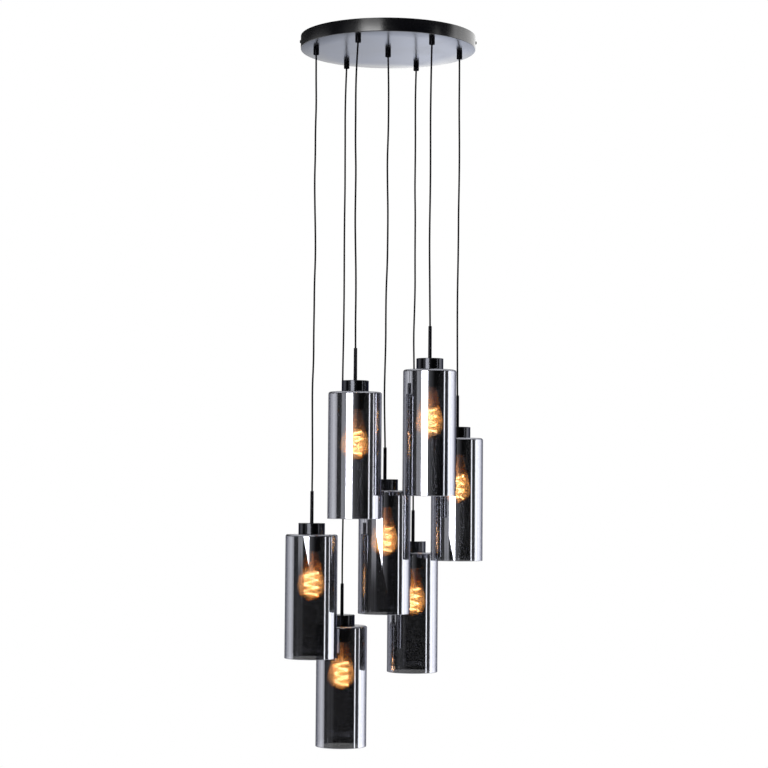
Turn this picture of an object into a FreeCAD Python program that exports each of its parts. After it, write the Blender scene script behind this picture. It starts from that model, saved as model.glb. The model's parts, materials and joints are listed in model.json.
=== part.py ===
"""Cluster pendant: seven smoked glass cylinders that hang on cords from one round canopy.

Millimetres, +Z up. The origin is on the ceiling, at the middle of the canopy; +X is to the right and -Y
towards the viewer. Everything hangs below Z = 0.
"""

import FreeCAD, Part
import math
import os
import re

import Sketcher
from FreeCAD import Placement, Rotation, Vector

doc = FreeCAD.newDocument("cluster_pendant")

# ---------------------------------------------------------------- driving sizes

SIZES = {
    # canopy: a shallow pan of sheet steel, open to the ceiling
    "canopy_radius": 200.0,
    "canopy_height": 30.0,
    "canopy_sheet": 1.5,
    "canopy_edge_round": 1.4,
    "ring_radius": 165.0,  # circle on which the six outer cords leave the canopy
    "ring_turn": 6.12,  # degrees by which that circle is turned from the bracket
    # ceiling bracket
    "bracket_width": 25.0,
    "bracket_sheet": 2.0,
    "bracket_gap": 0.5,  # between its tabs and the canopy's rim
    "bracket_tab": 18.0,
    "slot_spacing": 120.0,
    "slot_length": 16.0,
    "slot_width": 5.5,
    "supply_radius": 10.0,  # hole for the house cable
    # M4 screws: two hold the canopy on the bracket, one takes the earth lead
    "screw_radius": 2.0,
    "screw_length": 8.0,
    "screw_head_radius": 3.6,
    "screw_head_height": 2.4,
    "screw_head_crown": 1.0,
    "screw_clearance": 0.1,
    "side_screw_depth": 11.0,  # below the ceiling
    "earth_screw_offset": 36.0,
    # cord grips in the canopy's plate
    "cord_radius": 2.0,
    "cord_clearance": 0.3,
    "grip_radius": 6.5,
    "grip_length": 15.0,
    "grip_mouth_radius": 3.7,
    "grip_edge_round": 0.6,
    "pivot_height": 4.0,  # of the cord's bend above the grip's mouth
    "spigot_radius": 5.0,
    "spigot_length": 7.0,
    "fit_clearance": 0.05,
    "locknut_flats": 14.0,
    "locknut_height": 3.6,
    "clamp_screw_radius": 1.5,
    "clamp_screw_height": 10.0,  # above the grip's mouth
    # wiring box on the canopy's plate
    "box_length": 90.0,
    "box_width": 50.0,
    "box_height": 17.0,
    "box_wall": 2.0,
    "box_offset": 70.0,  # of its middle from the canopy's middle
    "box_entry_height": 9.0,  # of the cord entries above the plate
    "lid_sheet": 2.0,
    "lid_lip": 1.0,
    "terminal_length": 32.0,
    "terminal_width": 18.0,
    "terminal_height": 11.0,
    "terminal_hole_radius": 2.4,
    "tail_height": 21.0,  # of the cord tails above the plate
    "tail_descent": 24.0,  # from the box, where a tail starts down to its entry
    "tail_straight": 6.0,  # on each side of the box's wall
    "earth_wire_radius": 1.1,
    "lug_radius": 4.8,
    "lug_sheet": 0.8,
    # drops, from the ceiling to the top of each glass
    "drop_centre": 1036.0,
    "drop_right": 916.0,
    "drop_back_right": 1179.0,
    "drop_back_left": 1350.0,
    "drop_left": 1136.0,
    "drop_front_left": 821.0,
    "drop_front_right": 770.0,
    # stem: the stiff tube above each cap
    "stem_radius": 4.0,
    "stem_tip_radius": 3.8,
    "stem_length": 72.0,
    "stem_spigot_radius": 3.3,
    "stem_spigot_length": 9.0,
    # cap over the lampholder
    "cap_radius": 30.0,
    "cap_height": 25.0,
    "cap_sheet": 1.5,
    "cap_edge_round": 0.8,
    # lampholder, E27
    "holder_radius": 20.5,
    "holder_drop": 38.0,  # below the top of the glass
    "holder_flange_radius": 26.0,
    "holder_flange_height": 3.0,
    "holder_neck_radius": 12.0,
    "holder_slope": 8.0,
    "socket_radius": 13.5,
    "socket_depth": 28.0,
    "socket_mouth_round": 1.0,
    # ring that clamps the glass to the lampholder
    "shade_ring_radius": 27.0,
    "shade_ring_height": 7.0,
    "shade_ring_flange": 2.0,
    "shade_ring_wall": 2.5,
    # glass shade
    "shade_radius": 59.0,
    "shade_length": 278.0,
    "shade_wall": 2.5,
    "shade_shoulder": 5.0,
    "shade_rim_round": 1.0,
    "shade_hole_clearance": 1.0,
    # bulb
    "bulb_radius": 32.0,
    "bulb_wall": 1.0,
    "bulb_end": 149.0,  # below the top of the glass
    "bulb_neck_radius": 13.0,
    "bulb_base_radius": 13.2,
    "bulb_base_overlap": 1.0,  # by which the base goes deeper than the holder's mouth
    "bulb_base_taper": 3.0,
    "bulb_contact_radius": 5.0,
    "bulb_contact_height": 2.0,
    "bulb_flare_radius": 6.0,  # of the glass mount inside it, where it leaves the base
    "bulb_flare_length": 12.0,
    "bulb_mount_radius": 4.0,
    "bulb_mount_end": 76.0,  # below the top of the glass
    "bulb_mount_tip": 3.0,
    "bulb_rod_radius": 0.7,
    "bulb_arm_radius": 0.35,
    "filament_radius": 14.0,
    "filament_pitch": 17.0,
    "filament_thickness": 1.2,  # radius of the filament itself
    "filament_top": 86.0,  # below the top of the glass
}

FILAMENT_QUARTERS = 12  # quarter turns of the spiral filament
FILAMENT_GAP = 0.4  # the least gap between its turns that still packs

# The pendants: name of the drop, place on the ring in degrees (none for the middle one), and the sideways
# bends of the cord, as evenly spaced points from the grip down to the stem, (to the right, away from the viewer).
PENDANTS = [
    ("drop_centre", None, [
        (1.7, 0.4), (2.1, -0.2), (1.9, -0.8), (0.0, -0.5), (0.9, 0.5), (2.4, 0.9), (2.3, 0.1),
        (2.0, -0.7), (-0.3, -0.9), (-0.6, 0.0), (-0.3, 0.7), (-1.6, 0.6), (-2.6, -0.2), (-1.5, -0.6),
    ]),
    ("drop_right", 0, [
        (0.3, 0.6), (0.1, 0.9), (0.9, 0.2), (1.3, -0.6), (0.9, -0.8), (0.0, -0.1),
        (0.1, 0.7), (-0.4, 0.9), (-1.3, 0.2), (-1.4, -0.6), (-1.0, -0.7), (-0.5, -0.2),
    ]),
    ("drop_back_right", 60, [
        (-1.4, -0.3), (-1.2, 0.4), (-0.6, 0.9), (-0.7, 0.5), (-1.1, -0.4), (0.3, -0.8),
        (0.2, -0.2), (0.4, 0.6), (1.1, 0.8), (-0.2, 0.1), (-1.7, -0.6), (-0.5, -0.5),
        (0.5, 0.3), (1.0, 0.8), (0.4, 0.5), (-0.4, -0.2), (-0.3, -0.5),
    ]),
    ("drop_back_left", 120, [
        (-1.9, 0.3), (-2.5, -0.4), (-1.9, -0.8), (-1.7, 0.0), (-1.3, 0.8), (-1.8, 0.6), (-1.9, -0.3),
        (-1.6, -0.8), (-1.3, -0.2), (-1.4, 0.6), (-1.7, 0.8), (-2.5, 0.1), (-3.0, -0.6), (-2.4, -0.4),
        (-1.2, 0.5), (-0.4, 0.8), (0.3, 0.1), (0.7, -0.6), (0.3, -0.4), (-0.2, 0.2),
    ]),
    ("drop_left", 180, [
        (0.2, 0.5), (1.4, 0.9), (-0.1, 0.2), (0.3, -0.6), (-0.9, -0.8), (0.3, 0.0),
        (2.0, 0.8), (2.7, 1.0), (0.9, 0.2), (1.0, -0.7), (0.4, -0.9), (0.8, -0.1),
        (-1.6, 0.7), (-1.0, 0.8), (-0.3, 0.0), (0.4, -0.4),
    ]),
    ("drop_front_left", 240, [
        (-3.1, 0.4), (-4.3, 0.8), (-4.0, 0.0), (-4.1, -0.8), (-2.4, -0.7), (-2.8, 0.2),
        (-3.3, 0.9), (-2.1, 0.5), (-0.6, -0.4), (-0.1, -0.7), (-0.6, -0.1),
    ]),
    ("drop_front_right", 300, [
        (-1.1, -0.4), (-1.7, 0.3), (-2.1, 0.9), (-1.6, 0.4), (-1.3, -0.5),
        (-1.6, -0.8), (-2.3, -0.1), (-2.4, 0.6), (-1.6, 0.5), (-0.9, -0.2),
    ]),
]

# Where each cord's tail enters the wiring box, in the order of the pendants: the wall, by the way that its
# inside is from it, and how far along that wall from its middle.
INTO_RIGHT_WALL, INTO_LEFT_WALL, INTO_FRONT_WALL = Vector(-1, 0, 0), Vector(1, 0, 0), Vector(0, 1, 0)
TAIL_ENTRIES = [
    (INTO_FRONT_WALL, 0.0),
    (INTO_RIGHT_WALL, -3.0),
    (INTO_RIGHT_WALL, 12.0),
    (INTO_LEFT_WALL, 12.0),
    (INTO_LEFT_WALL, -3.0),
    (INTO_LEFT_WALL, -15.0),
    (INTO_RIGHT_WALL, -15.0),
]
EARTH_ENTRY = (INTO_FRONT_WALL, -20.0)

sheet = doc.addObject("Spreadsheet::Sheet", "Sizes")
for row, (alias, number) in enumerate(SIZES.items(), start=1):
    sheet.set(f"A{row}", alias)
    sheet.set(f"B{row}", str(number))
    sheet.setAlias(f"B{row}", alias)
doc.recompute()

# ---------------------------------------------------------------- helpers

NODES = []  # the objects that are written out, one file each
SAME_EDGE = 0.01  # how near an edge lies to the place where it is looked for
ORIGIN_AXES = {"up": "XY_Plane", "front": "XZ_Plane", "side": "YZ_Plane"}


def bound(words):
    """An expression with each size's name pointed at its cell in the sheet."""
    return re.sub(r"[a-z_]{4,}", lambda m: "Sizes." + m[0] if m[0] in SIZES else m[0], str(words))


def size(words):
    """The number that an expression of sizes comes to."""
    return float(sheet.evalExpression(bound(words)))


def add(kind, name, **properties):
    """A new object. A property given as text is bound to the sheet."""
    made = doc.addObject(kind, name)
    for key, given in properties.items():
        if isinstance(given, str):
            made.setExpression(key, bound(given))
        else:
            setattr(made, key, given)
    return made


def place(made, x="0", y="0", z="0", rotation=None):
    """Puts an object at expressions of the sheet, turned if a rotation is given."""
    if rotation is not None:
        made.Placement = Placement(Vector(), rotation)
    for axis, words in zip("xyz", (x, y, z)):
        made.setExpression(f"Placement.Base.{axis}", bound(words))
    return made


def node(made, name):
    """Marks an object as one of the pieces that are written out."""
    made.Label = name
    NODES.append(made)
    return made


def group(members, name):
    """Several separate solids that share one node."""
    return node(add("Part::Compound", name + "_group", Links=members), name)


def sketch_on(body, side, name):
    """A new sketch on one of the body's own planes."""
    sketch = body.newObject("Sketcher::SketchObject", name)
    plane = next(p for p in body.Origin.OriginFeatures if p.Role == ORIGIN_AXES[side])
    sketch.AttachmentSupport = (plane, [""])
    sketch.MapMode = "FlatFace"
    return sketch


def pin_point(sketch, edge, end, x, y):
    """Fixes the end of an edge at two expressions, measured from the sketch's origin."""
    for kind, words in (("DistanceX", x), ("DistanceY", y)):
        number = sketch.addConstraint(Sketcher.Constraint(kind, -1, 1, edge, end, size(words)))
        sketch.setExpression(f"Constraints[{number}]", bound(words))


def draw_outline(sketch, points):
    """A closed outline of straight lines through points given as pairs of expressions."""
    corners = [Vector(size(x), size(y), 0) for x, y in points]
    first = sketch.GeometryCount
    for a, b in zip(corners, corners[1:] + corners[:1]):
        sketch.addGeometry(Part.LineSegment(a, b), False)
    for k in range(len(points)):
        after = first + (k + 1) % len(points)
        sketch.addConstraint(Sketcher.Constraint("Coincident", first + k, 2, after, 1))
    for k, (x, y) in enumerate(points):
        pin_point(sketch, first + k, 1, x, y)


def draw_circle(sketch, x, y, radius):
    """A circle whose centre and radius are expressions."""
    centre = Vector(size(x), size(y), 0)
    edge = sketch.addGeometry(Part.Circle(centre, Vector(0, 0, 1), size(radius)), False)
    number = sketch.addConstraint(Sketcher.Constraint("Radius", edge, size(radius)))
    sketch.setExpression(f"Constraints[{number}]", bound(radius))
    pin_point(sketch, edge, 3, x, y)


def new_body(name):
    return doc.addObject("PartDesign::Body", name)


def turned(name, outline):
    """A body made by turning an outline of (radius, height) pairs about its own vertical axis."""
    body = new_body(name)
    sketch = sketch_on(body, "front", name + "_outline")
    draw_outline(sketch, outline)
    return turn_sketch(body, sketch, name)


def turn_sketch(body, sketch, name):
    turn = body.newObject("PartDesign::Revolution", name + "_turn")
    turn.Profile = sketch
    turn.ReferenceAxis = (sketch, ["V_Axis"])
    turn.Angle = 360
    sketch.Visibility = False
    doc.recompute()
    return body


def pocket(body, sketch, name, length=None, both_ways=False):
    """Cuts a sketch out of the body, right through unless a length is given."""
    before = body.Shape.Volume
    cut = body.newObject("PartDesign::Pocket", name)
    cut.Profile = sketch
    cut.Type = 0 if length else 1
    if length:
        cut.setExpression("Length", bound(length))
    cut.SideType = "Symmetric" if both_ways else "One side"
    doc.recompute()
    if not body.Shape.Volume < before:
        raise SystemExit(f"{name} cuts nothing")
    return cut


def pad(body, sketch, name, length, both_ways=False):
    """Raises a sketch into a solid."""
    raised = body.newObject("PartDesign::Pad", name)
    raised.Profile = sketch
    raised.setExpression("Length", bound(length))
    raised.SideType = "Symmetric" if both_ways else "One side"
    doc.recompute()
    return raised


def rounded(body, name, radius, rings):
    """Rounds the body's circular edges that lie at the given (radius, height) pairs."""
    wanted = [(size(r), size(h)) for r, h in rings]
    found = []
    for number, edge in enumerate(body.Shape.Edges, start=1):
        curve = edge.Curve
        if isinstance(curve, Part.Circle):
            here = body.Placement.inverse().multVec(curve.Center)
            if any(math.hypot(curve.Radius - r, here.z - h) < SAME_EDGE for r, h in wanted):
                found.append(f"Edge{number}")
    unrounded = body.Tip
    fillet = body.newObject("PartDesign::Fillet", name)
    fillet.Base = (unrounded, found)
    fillet.setExpression("Radius", bound(radius))
    body.Tip = fillet
    doc.recompute()
    return body


# ---------------------------------------------------------------- tubes

ARC_SHARE = 0.45  # of the shorter run beside a bend
STRAIGHT = 1e-6  # a bend flatter than this is no arc
VOLUME_SHARE = 0.01  # by which a tube's volume may miss its section times its length
POINTS_PER_ARC = 8  # where the gap between the filament's turns is measured


def corner_arc(start, corner, end):
    """The arc that leaves start towards corner and arrives at end from it, as far from the corner as start."""
    middle = (start + end) * 0.5
    reach = (corner - start).Length
    half_chord = (end - start).Length / 2
    sine = half_chord / reach  # of half the angle between the two runs
    sagitta = reach * math.sqrt(1 - sine * sine)
    radius = half_chord / math.sqrt(1 - sine * sine)
    depth = math.sqrt(radius * radius + reach * reach) - radius
    on_arc = corner + (middle - corner).normalize() * depth
    if sagitta < STRAIGHT:
        raise SystemExit("three points of a tube are in line")
    return Part.Arc(start, on_arc, end).toShape(), radius


def swept(edges, radius):
    """A solid tube along edges that join smoothly."""
    path = Part.Wire(edges)
    start = edges[0].valueAt(edges[0].FirstParameter)
    along = edges[0].tangentAt(edges[0].FirstParameter)
    section = Part.Wire([Part.Circle(start, along, radius).toShape()])
    tube = path.makePipeShell([section], True, False)
    expected = math.pi * radius**2 * path.Length
    if abs(tube.Volume / expected - 1) > VOLUME_SHARE:
        raise SystemExit(f"a tube of {path.Length:.0f} mm has the wrong volume")
    return tube


def bent_tube(points, radius, name):
    """A tube along straight runs joined by tangent arcs, each as large as its two runs allow."""
    edges, radii = [], []
    at = points[0]
    for before, corner, after in zip(points, points[1:], points[2:]):
        run_in, run_out = corner - before, after - corner
        reach = ARC_SHARE * min(run_in.Length, run_out.Length)
        start = corner - run_in.normalize() * reach
        end = corner + run_out.normalize() * reach
        arc, arc_radius = corner_arc(start, corner, end)
        edges += [Part.LineSegment(at, start).toShape(), arc]
        radii.append(arc_radius)
        at = end
    edges.append(Part.LineSegment(at, points[-1]).toShape())
    print(f"{name}: {sum(e.Length for e in edges):.0f} mm, tightest bend {min(radii):.1f} mm")
    return swept(edges, radius)


def spiral(radius, pitch, quarters, thickness):
    """A spiral tube that goes down from the origin's height, each quarter turn a pair of arcs."""
    edges, centres = [], []

    def at(quarter):
        angle = quarter * math.pi / 2
        point = Vector(radius * math.cos(angle), radius * math.sin(angle), -pitch * quarter / 4)
        heading = Vector(-radius * math.sin(angle), radius * math.cos(angle), -pitch / (2 * math.pi))
        return point, heading.normalize()

    for quarter in range(quarters):
        start, leaving = at(quarter)
        end, arriving = at(quarter + 1)
        chord, both = end - start, leaving + arriving
        spread = 2 * (1 - leaving.dot(arriving))
        reach = (math.sqrt(chord.dot(both) ** 2 + spread * chord.dot(chord)) - chord.dot(both)) / spread
        first, second = start + leaving * reach, end - arriving * reach
        middle = (first + second) * 0.5
        for a, corner, b in ((start, first, middle), (middle, second, end)):
            arc, _ = corner_arc(a, corner, b)
            edges.append(arc)
            centres += [(quarter, p) for p in arc.discretize(POINTS_PER_ARC)]
    gap = min((p - q).Length for i, p in centres for j, q in centres if j - i > 2) - 2 * thickness
    print(f"filament: least gap between its turns {gap:.2f} mm")
    if gap < FILAMENT_GAP:
        raise SystemExit("the filament's turns touch")
    return swept(edges, thickness)


def feature(name, shape):
    """An object that holds a shape worked out here."""
    made = doc.addObject("Part::Feature", name)
    made.Shape = shape
    return made


# ---------------------------------------------------------------- places

def spot(turn):
    """The expressions for a cord's place on the canopy; the middle one has no turn."""
    if turn is None:
        return "0", "0"
    angle = f"({turn} + ring_turn) * 1 deg"
    return f"ring_radius * cos({angle})", f"ring_radius * sin({angle})"


SPOTS = [spot(turn) for _, turn, _ in PENDANTS]
PLATE_TOP = "canopy_sheet - canopy_height"  # height of the canopy's inner floor
GRIP_MOUTH = "-canopy_height - grip_length"
PIVOT = f"{GRIP_MOUTH} + pivot_height"
# above the top of the glass
HOLDER_TOP = "cap_height - cap_sheet"
NECK_FLOOR = f"{HOLDER_TOP} - stem_spigot_length"
STEM_TOP = "cap_height + stem_length"
# below it, so negative
CONTACT = "socket_depth - holder_drop"
BULB_NECK = "bulb_base_overlap - holder_drop"
FILAMENT_END = f"-filament_top - filament_pitch * {FILAMENT_QUARTERS} / 4"


# ---------------------------------------------------------------- canopy

def make_canopy():
    body = turned("canopy_pan", [
        ("0", "-canopy_height"),
        ("canopy_radius", "-canopy_height"),
        ("canopy_radius", "0"),
        ("canopy_radius - canopy_sheet", "0"),
        ("canopy_radius - canopy_sheet", PLATE_TOP),
        ("0", PLATE_TOP),
    ])
    rounded(body, "canopy_edge", "canopy_edge_round", [("canopy_radius", "-canopy_height")])
    hole = "spigot_radius + fit_clearance"
    middle = sketch_on(body, "up", "middle_hole")
    draw_circle(middle, "0", "0", hole)
    pocket(body, middle, "cut_middle_hole")
    ring = sketch_on(body, "up", "ring_hole")
    draw_circle(ring, *spot(0), hole)
    first = pocket(body, ring, "cut_ring_hole")
    around = body.newObject("PartDesign::PolarPattern", "ring_holes")
    around.Originals = [first]
    around.Axis = (ring, ["N_Axis"])
    around.Angle = 360
    around.Occurrences = 6
    body.Tip = around
    side = sketch_on(body, "side", "side_holes")
    draw_circle(side, "0", "-side_screw_depth", "screw_radius + screw_clearance")
    pocket(body, side, "cut_side_holes", both_ways=True)
    node(body, "canopy")


def make_bracket():
    """A steel strip with its ends bent down; slots for the ceiling screws and a hole for the house cable."""
    body = new_body("bracket_strip")
    tab_out = "canopy_radius - canopy_sheet - bracket_gap"
    tab_in = f"{tab_out} - bracket_sheet"
    profile = sketch_on(body, "front", "bracket_profile")
    draw_outline(profile, [
        (f"-({tab_out})", "0"),
        (tab_out, "0"),
        (tab_out, "-bracket_tab"),
        (tab_in, "-bracket_tab"),
        (tab_in, "-bracket_sheet"),
        (f"-({tab_in})", "-bracket_sheet"),
        (f"-({tab_in})", "-bracket_tab"),
        (f"-({tab_out})", "-bracket_tab"),
    ])
    pad(body, profile, "bracket_pad", "bracket_width", both_ways=True)
    flat = sketch_on(body, "up", "bracket_cuts")
    draw_circle(flat, "0", "0", "supply_radius")
    draw_circle(flat, "-earth_screw_offset", "0", "screw_radius + fit_clearance")
    for side in ("-", ""):
        draw_slot(flat, f"{side}slot_spacing / 2", "slot_length", "slot_width")
    pocket(body, flat, "cut_bracket", both_ways=True)
    tabs = sketch_on(body, "side", "tab_holes")
    draw_circle(tabs, "0", "-side_screw_depth", "screw_radius + fit_clearance")
    pocket(body, tabs, "cut_tab_holes", both_ways=True)
    node(body, "ceiling_bracket")


def draw_slot(sketch, x, length, width):
    """A slot with round ends, along X, whose middle is at x."""
    half = size(width) / 2
    left, right = size(f"{x} - ({length} - {width}) / 2"), size(f"{x} + ({length} - {width}) / 2")
    quarter = math.pi / 2
    left_end = Part.Circle(Vector(left, 0, 0), Vector(0, 0, 1), half)
    right_end = Part.Circle(Vector(right, 0, 0), Vector(0, 0, 1), half)
    first = sketch.addGeometry(Part.ArcOfCircle(left_end, quarter, 3 * quarter))
    last = sketch.addGeometry(Part.ArcOfCircle(right_end, -quarter, quarter))
    low = sketch.addGeometry(Part.LineSegment(Vector(left, -half, 0), Vector(right, -half, 0)))
    high = sketch.addGeometry(Part.LineSegment(Vector(right, half, 0), Vector(left, half, 0)))
    joins = [(first, 2, low, 1), (last, 1, low, 2), (last, 2, high, 1), (first, 1, high, 2)]
    for arc, arc_end, line, line_end in joins:
        sketch.addConstraint(Sketcher.Constraint("Tangent", arc, arc_end, line, line_end))
    sketch.addConstraint(Sketcher.Constraint("Equal", first, last))
    number = sketch.addConstraint(Sketcher.Constraint("Radius", first, half))
    sketch.setExpression(f"Constraints[{number}]", bound(f"{width} / 2"))
    pin_point(sketch, first, 3, f"{x} - ({length} - {width}) / 2", "0")
    pin_point(sketch, last, 3, f"{x} + ({length} - {width}) / 2", "0")


def make_screw(name, length):
    """An M4 screw on a vertical axis: its shank goes up from the origin, and its head is below."""
    return turned(name, [
        ("0", "-screw_head_height"),
        ("screw_head_radius - screw_head_crown", "-screw_head_height"),
        ("screw_head_radius", "screw_head_crown - screw_head_height"),
        ("screw_head_radius", "0"),
        ("screw_radius", "0"),
        ("screw_radius", length),
        ("0", length),
    ])


def make_screws():
    sideways = Rotation(Vector(0, 1, 0), 90)
    left = make_screw("left_side_screw", "screw_length")
    place(left, "-canopy_radius", "0", "-side_screw_depth", sideways)
    right = make_screw("right_side_screw", "screw_length")
    place(right, "canopy_radius", "0", "-side_screw_depth", sideways.inverted())
    earth = make_screw("earth_screw", "bracket_sheet + lug_sheet")
    place(earth, "-earth_screw_offset", "0", "-bracket_sheet - lug_sheet")
    group([left, right, earth], "m4_screws")


def make_grips():
    grips, nuts, clamps = [], [], []
    bore = "cord_radius + cord_clearance"
    clamp_z = f"{GRIP_MOUTH} + clamp_screw_height"
    for k, (x, y) in enumerate(SPOTS, start=1):
        grip = turned(f"grip_{k}", [
            ("grip_mouth_radius", "0"),
            ("grip_radius", "0"),
            ("grip_radius", "grip_length"),
            ("spigot_radius", "grip_length"),
            ("spigot_radius", "grip_length + spigot_length"),
            (bore, "grip_length + spigot_length"),
            (bore, "pivot_height"),
        ])
        rounded(grip, f"grip_round_{k}", "grip_edge_round", [("grip_radius", "0")])
        side = sketch_on(grip, "front", f"clamp_hole_{k}")
        draw_circle(side, "0", "clamp_screw_height", "clamp_screw_radius + fit_clearance")
        pocket(grip, side, f"cut_clamp_hole_{k}", length="2 * grip_radius")
        grips.append(place(grip, x, y, GRIP_MOUTH))

        hexagon = add("Part::Prism", f"nut_hexagon_{k}", Polygon=6,
                      Circumradius="locknut_flats / sqrt(3)", Height="locknut_height")
        hole = add("Part::Cylinder", f"nut_hole_{k}", Radius="spigot_radius + fit_clearance",
                   Height="locknut_height")
        nut = add("Part::Cut", f"nut_{k}", Base=hexagon, Tool=hole)
        nuts.append(place(nut, x, y, PLATE_TOP))

        clamp = add("Part::Cylinder", f"clamp_{k}", Radius="clamp_screw_radius",
                    Height=f"grip_radius - ({bore})")
        clamps.append(place(clamp, x, f"{y} + {bore}", clamp_z, Rotation(Vector(1, 0, 0), -90)))
    group(grips, "cord_grips")
    group(nuts, "grip_locknuts")
    group(clamps, "grip_clamp_screws")


# ---------------------------------------------------------------- wiring box

def entry_place(into, along):
    """Expressions for the middle of a cord entry, on the outside of the wiring box's wall."""
    x = f"{-into.x} * box_length / 2 + {abs(into.y) * along}"
    y = f"box_offset + {-into.y} * box_width / 2 + {abs(into.x) * along}"
    return x, y, f"{PLATE_TOP} + box_entry_height"


def box(name, length, width, height, z, y="box_offset"):
    """A block centred over a place on the canopy's floor."""
    made = add("Part::Box", name, Length=length, Width=width, Height=height)
    return place(made, f"-({length}) / 2", f"{y} - ({width}) / 2", z)


def make_wiring_box():
    outer = box("box_outer", "box_length", "box_width", "box_height", PLATE_TOP)
    inner = box("box_inner", "box_length - 2 * box_wall", "box_width - 2 * box_wall", "box_height",
                f"{PLATE_TOP} + box_wall")
    tools = [inner]
    entries = [(entry, "cord_radius + cord_clearance") for entry in TAIL_ENTRIES]
    entries.append((EARTH_ENTRY, "earth_wire_radius + cord_clearance"))
    for k, ((into, along), radius) in enumerate(entries):
        hole = add("Part::Cylinder", f"entry_{k}", Radius=radius, Height="box_wall")
        tools.append(place(hole, *entry_place(into, along), Rotation(Vector(0, 0, 1), into)))
    cuts = add("Part::MultiFuse", "box_cuts", Shapes=tools)
    node(add("Part::Cut", "box_cut", Base=outer, Tool=cuts), "wiring_box")

    plate = box("lid_plate", "box_length", "box_width", "lid_sheet", f"{PLATE_TOP} + box_height")
    inset = "2 * (box_wall + fit_clearance)"
    lip = box("lid_lip", f"box_length - {inset}", f"box_width - {inset}", "lid_lip + lid_sheet",
              f"{PLATE_TOP} + box_height - lid_lip")
    node(add("Part::Fuse", "lid_fuse", Base=plate, Tool=lip), "wiring_box_lid")

    floor = f"{PLATE_TOP} + box_wall"
    block = box("terminal_body", "terminal_length", "terminal_width", "terminal_height", floor)
    ways = []
    for k in (-1, 0, 1):
        way = add("Part::Cylinder", f"terminal_way_{k + 1}", Radius="terminal_hole_radius",
                  Height="terminal_width")
        ways.append(place(way, f"{k} * terminal_length / 3", "box_offset - terminal_width / 2",
                          f"{floor} + terminal_height / 2", Rotation(Vector(1, 0, 0), -90)))
    holes = add("Part::MultiFuse", "terminal_ways", Shapes=ways)
    node(add("Part::Cut", "terminal_cut", Base=block, Tool=holes), "terminal_block")


def tail_route(x, y, into, along):
    """From inside a grip, up into the canopy, across, and down into the wiring box."""
    entry = Vector(*(size(words) for words in entry_place(into, along)))
    high = size(f"{PLATE_TOP} + tail_height")
    ahead = entry - into * size("tail_descent")
    straight = into * size("tail_straight")
    return [
        Vector(x, y, size(f"{PIVOT} + cord_radius + cord_clearance")),
        Vector(x, y, high),
        Vector(ahead.x, ahead.y, high - size("cord_radius")),
        entry - straight,
        entry + straight,
    ]


def make_tails():
    tails = []
    for k, ((x, y), (into, along)) in enumerate(zip(SPOTS, TAIL_ENTRIES), start=1):
        tube = bent_tube(tail_route(size(x), size(y), into, along), size("cord_radius"), f"cord tail {k}")
        tails.append(feature(f"tail_{k}", tube))
    group(tails, "cord_tails")


def make_earth_lead():
    """The earth lead, from a ring lug under a screw in the bracket to the wiring box."""
    entry = Vector(*(size(words) for words in entry_place(*EARTH_ENTRY)))
    straight = EARTH_ENTRY[0] * size("tail_straight")
    screw = Vector(-size("earth_screw_offset"), 0, size("-bracket_sheet - lug_sheet"))
    start = Vector(screw.x, size("screw_head_radius + earth_wire_radius / 2"),
                   size("-bracket_sheet - earth_wire_radius - fit_clearance"))
    across = (entry - straight - start) / 3
    drop = Vector(0, 0, (start.z - entry.z) / 4)
    # nearly level under the bracket and at the box, and steeper between them
    under_bracket, before_box = start + across + drop, entry - straight - across - drop
    route = [start, under_bracket, before_box, entry - straight, entry + straight]
    wire = bent_tube(route, size("earth_wire_radius"), "earth lead")
    hole = Part.makeCylinder(size("screw_radius + screw_clearance"), size("lug_sheet"), screw)
    lug = Part.makeCylinder(size("lug_radius"), size("lug_sheet"), screw)
    node(feature("earth_lead_shape", lug.cut(hole).fuse(wire).removeSplitter()), "earth_lead")


# ---------------------------------------------------------------- pendants

def cord_route(drop, x, y, bends):
    """The cord's points: from its pivot in the grip, down through the bends and the stem to the holder."""
    top, entry = size(PIVOT), size(f"{STEM_TOP} + cord_radius - {drop}")
    bottom = size(f"{NECK_FLOOR} + fit_clearance - {drop}")
    step = (top - entry) / (len(bends) + 1)
    points = [Vector(x, y, top)]
    for k, (right, away) in enumerate(bends, start=1):
        points.append(Vector(x + right, y + away, top - step * k))
    points.append(Vector(x, y, entry))
    points.append(Vector(x + size("cord_clearance / 2"), y, (entry + bottom) / 2))
    points.append(Vector(x, y, bottom))
    return points


def make_cord(number, drop, x, y, bends):
    radius = size("cord_radius")
    route = cord_route(drop, x, y, bends)
    tube = bent_tube(route, radius, f"cord {number}")
    end = Part.makeSphere(radius, route[0])
    node(feature(f"cord_{number}_shape", tube.fuse(end).removeSplitter()), f"cord_{number}")


def make_stem(number, base, x, y):
    """A tube that tapers a little towards its top, with a spigot that screws into the lampholder."""
    bore = "cord_radius + cord_clearance"
    body = turned(f"stem_{number}_body", [
        (bore, "-stem_spigot_length"),
        ("stem_spigot_radius", "-stem_spigot_length"),
        ("stem_spigot_radius", "0"),
        ("stem_radius", "0"),
        ("stem_tip_radius", "stem_length"),
        (bore, "stem_length"),
    ])
    node(place(body, x, y, f"{base} + cap_height"), f"stem_{number}")


def make_cap(number, base, x, y):
    hole = "stem_spigot_radius + fit_clearance"
    body = turned(f"cap_{number}_body", [
        ("cap_radius - cap_sheet", "0"),
        ("cap_radius", "0"),
        ("cap_radius", "cap_height"),
        (hole, "cap_height"),
        (hole, "cap_height - cap_sheet"),
        ("cap_radius - cap_sheet", "cap_height - cap_sheet"),
    ])
    rounded(body, f"cap_round_{number}", "cap_edge_round", [("cap_radius", "cap_height")])
    node(place(body, x, y, base), f"cap_{number}")


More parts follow.
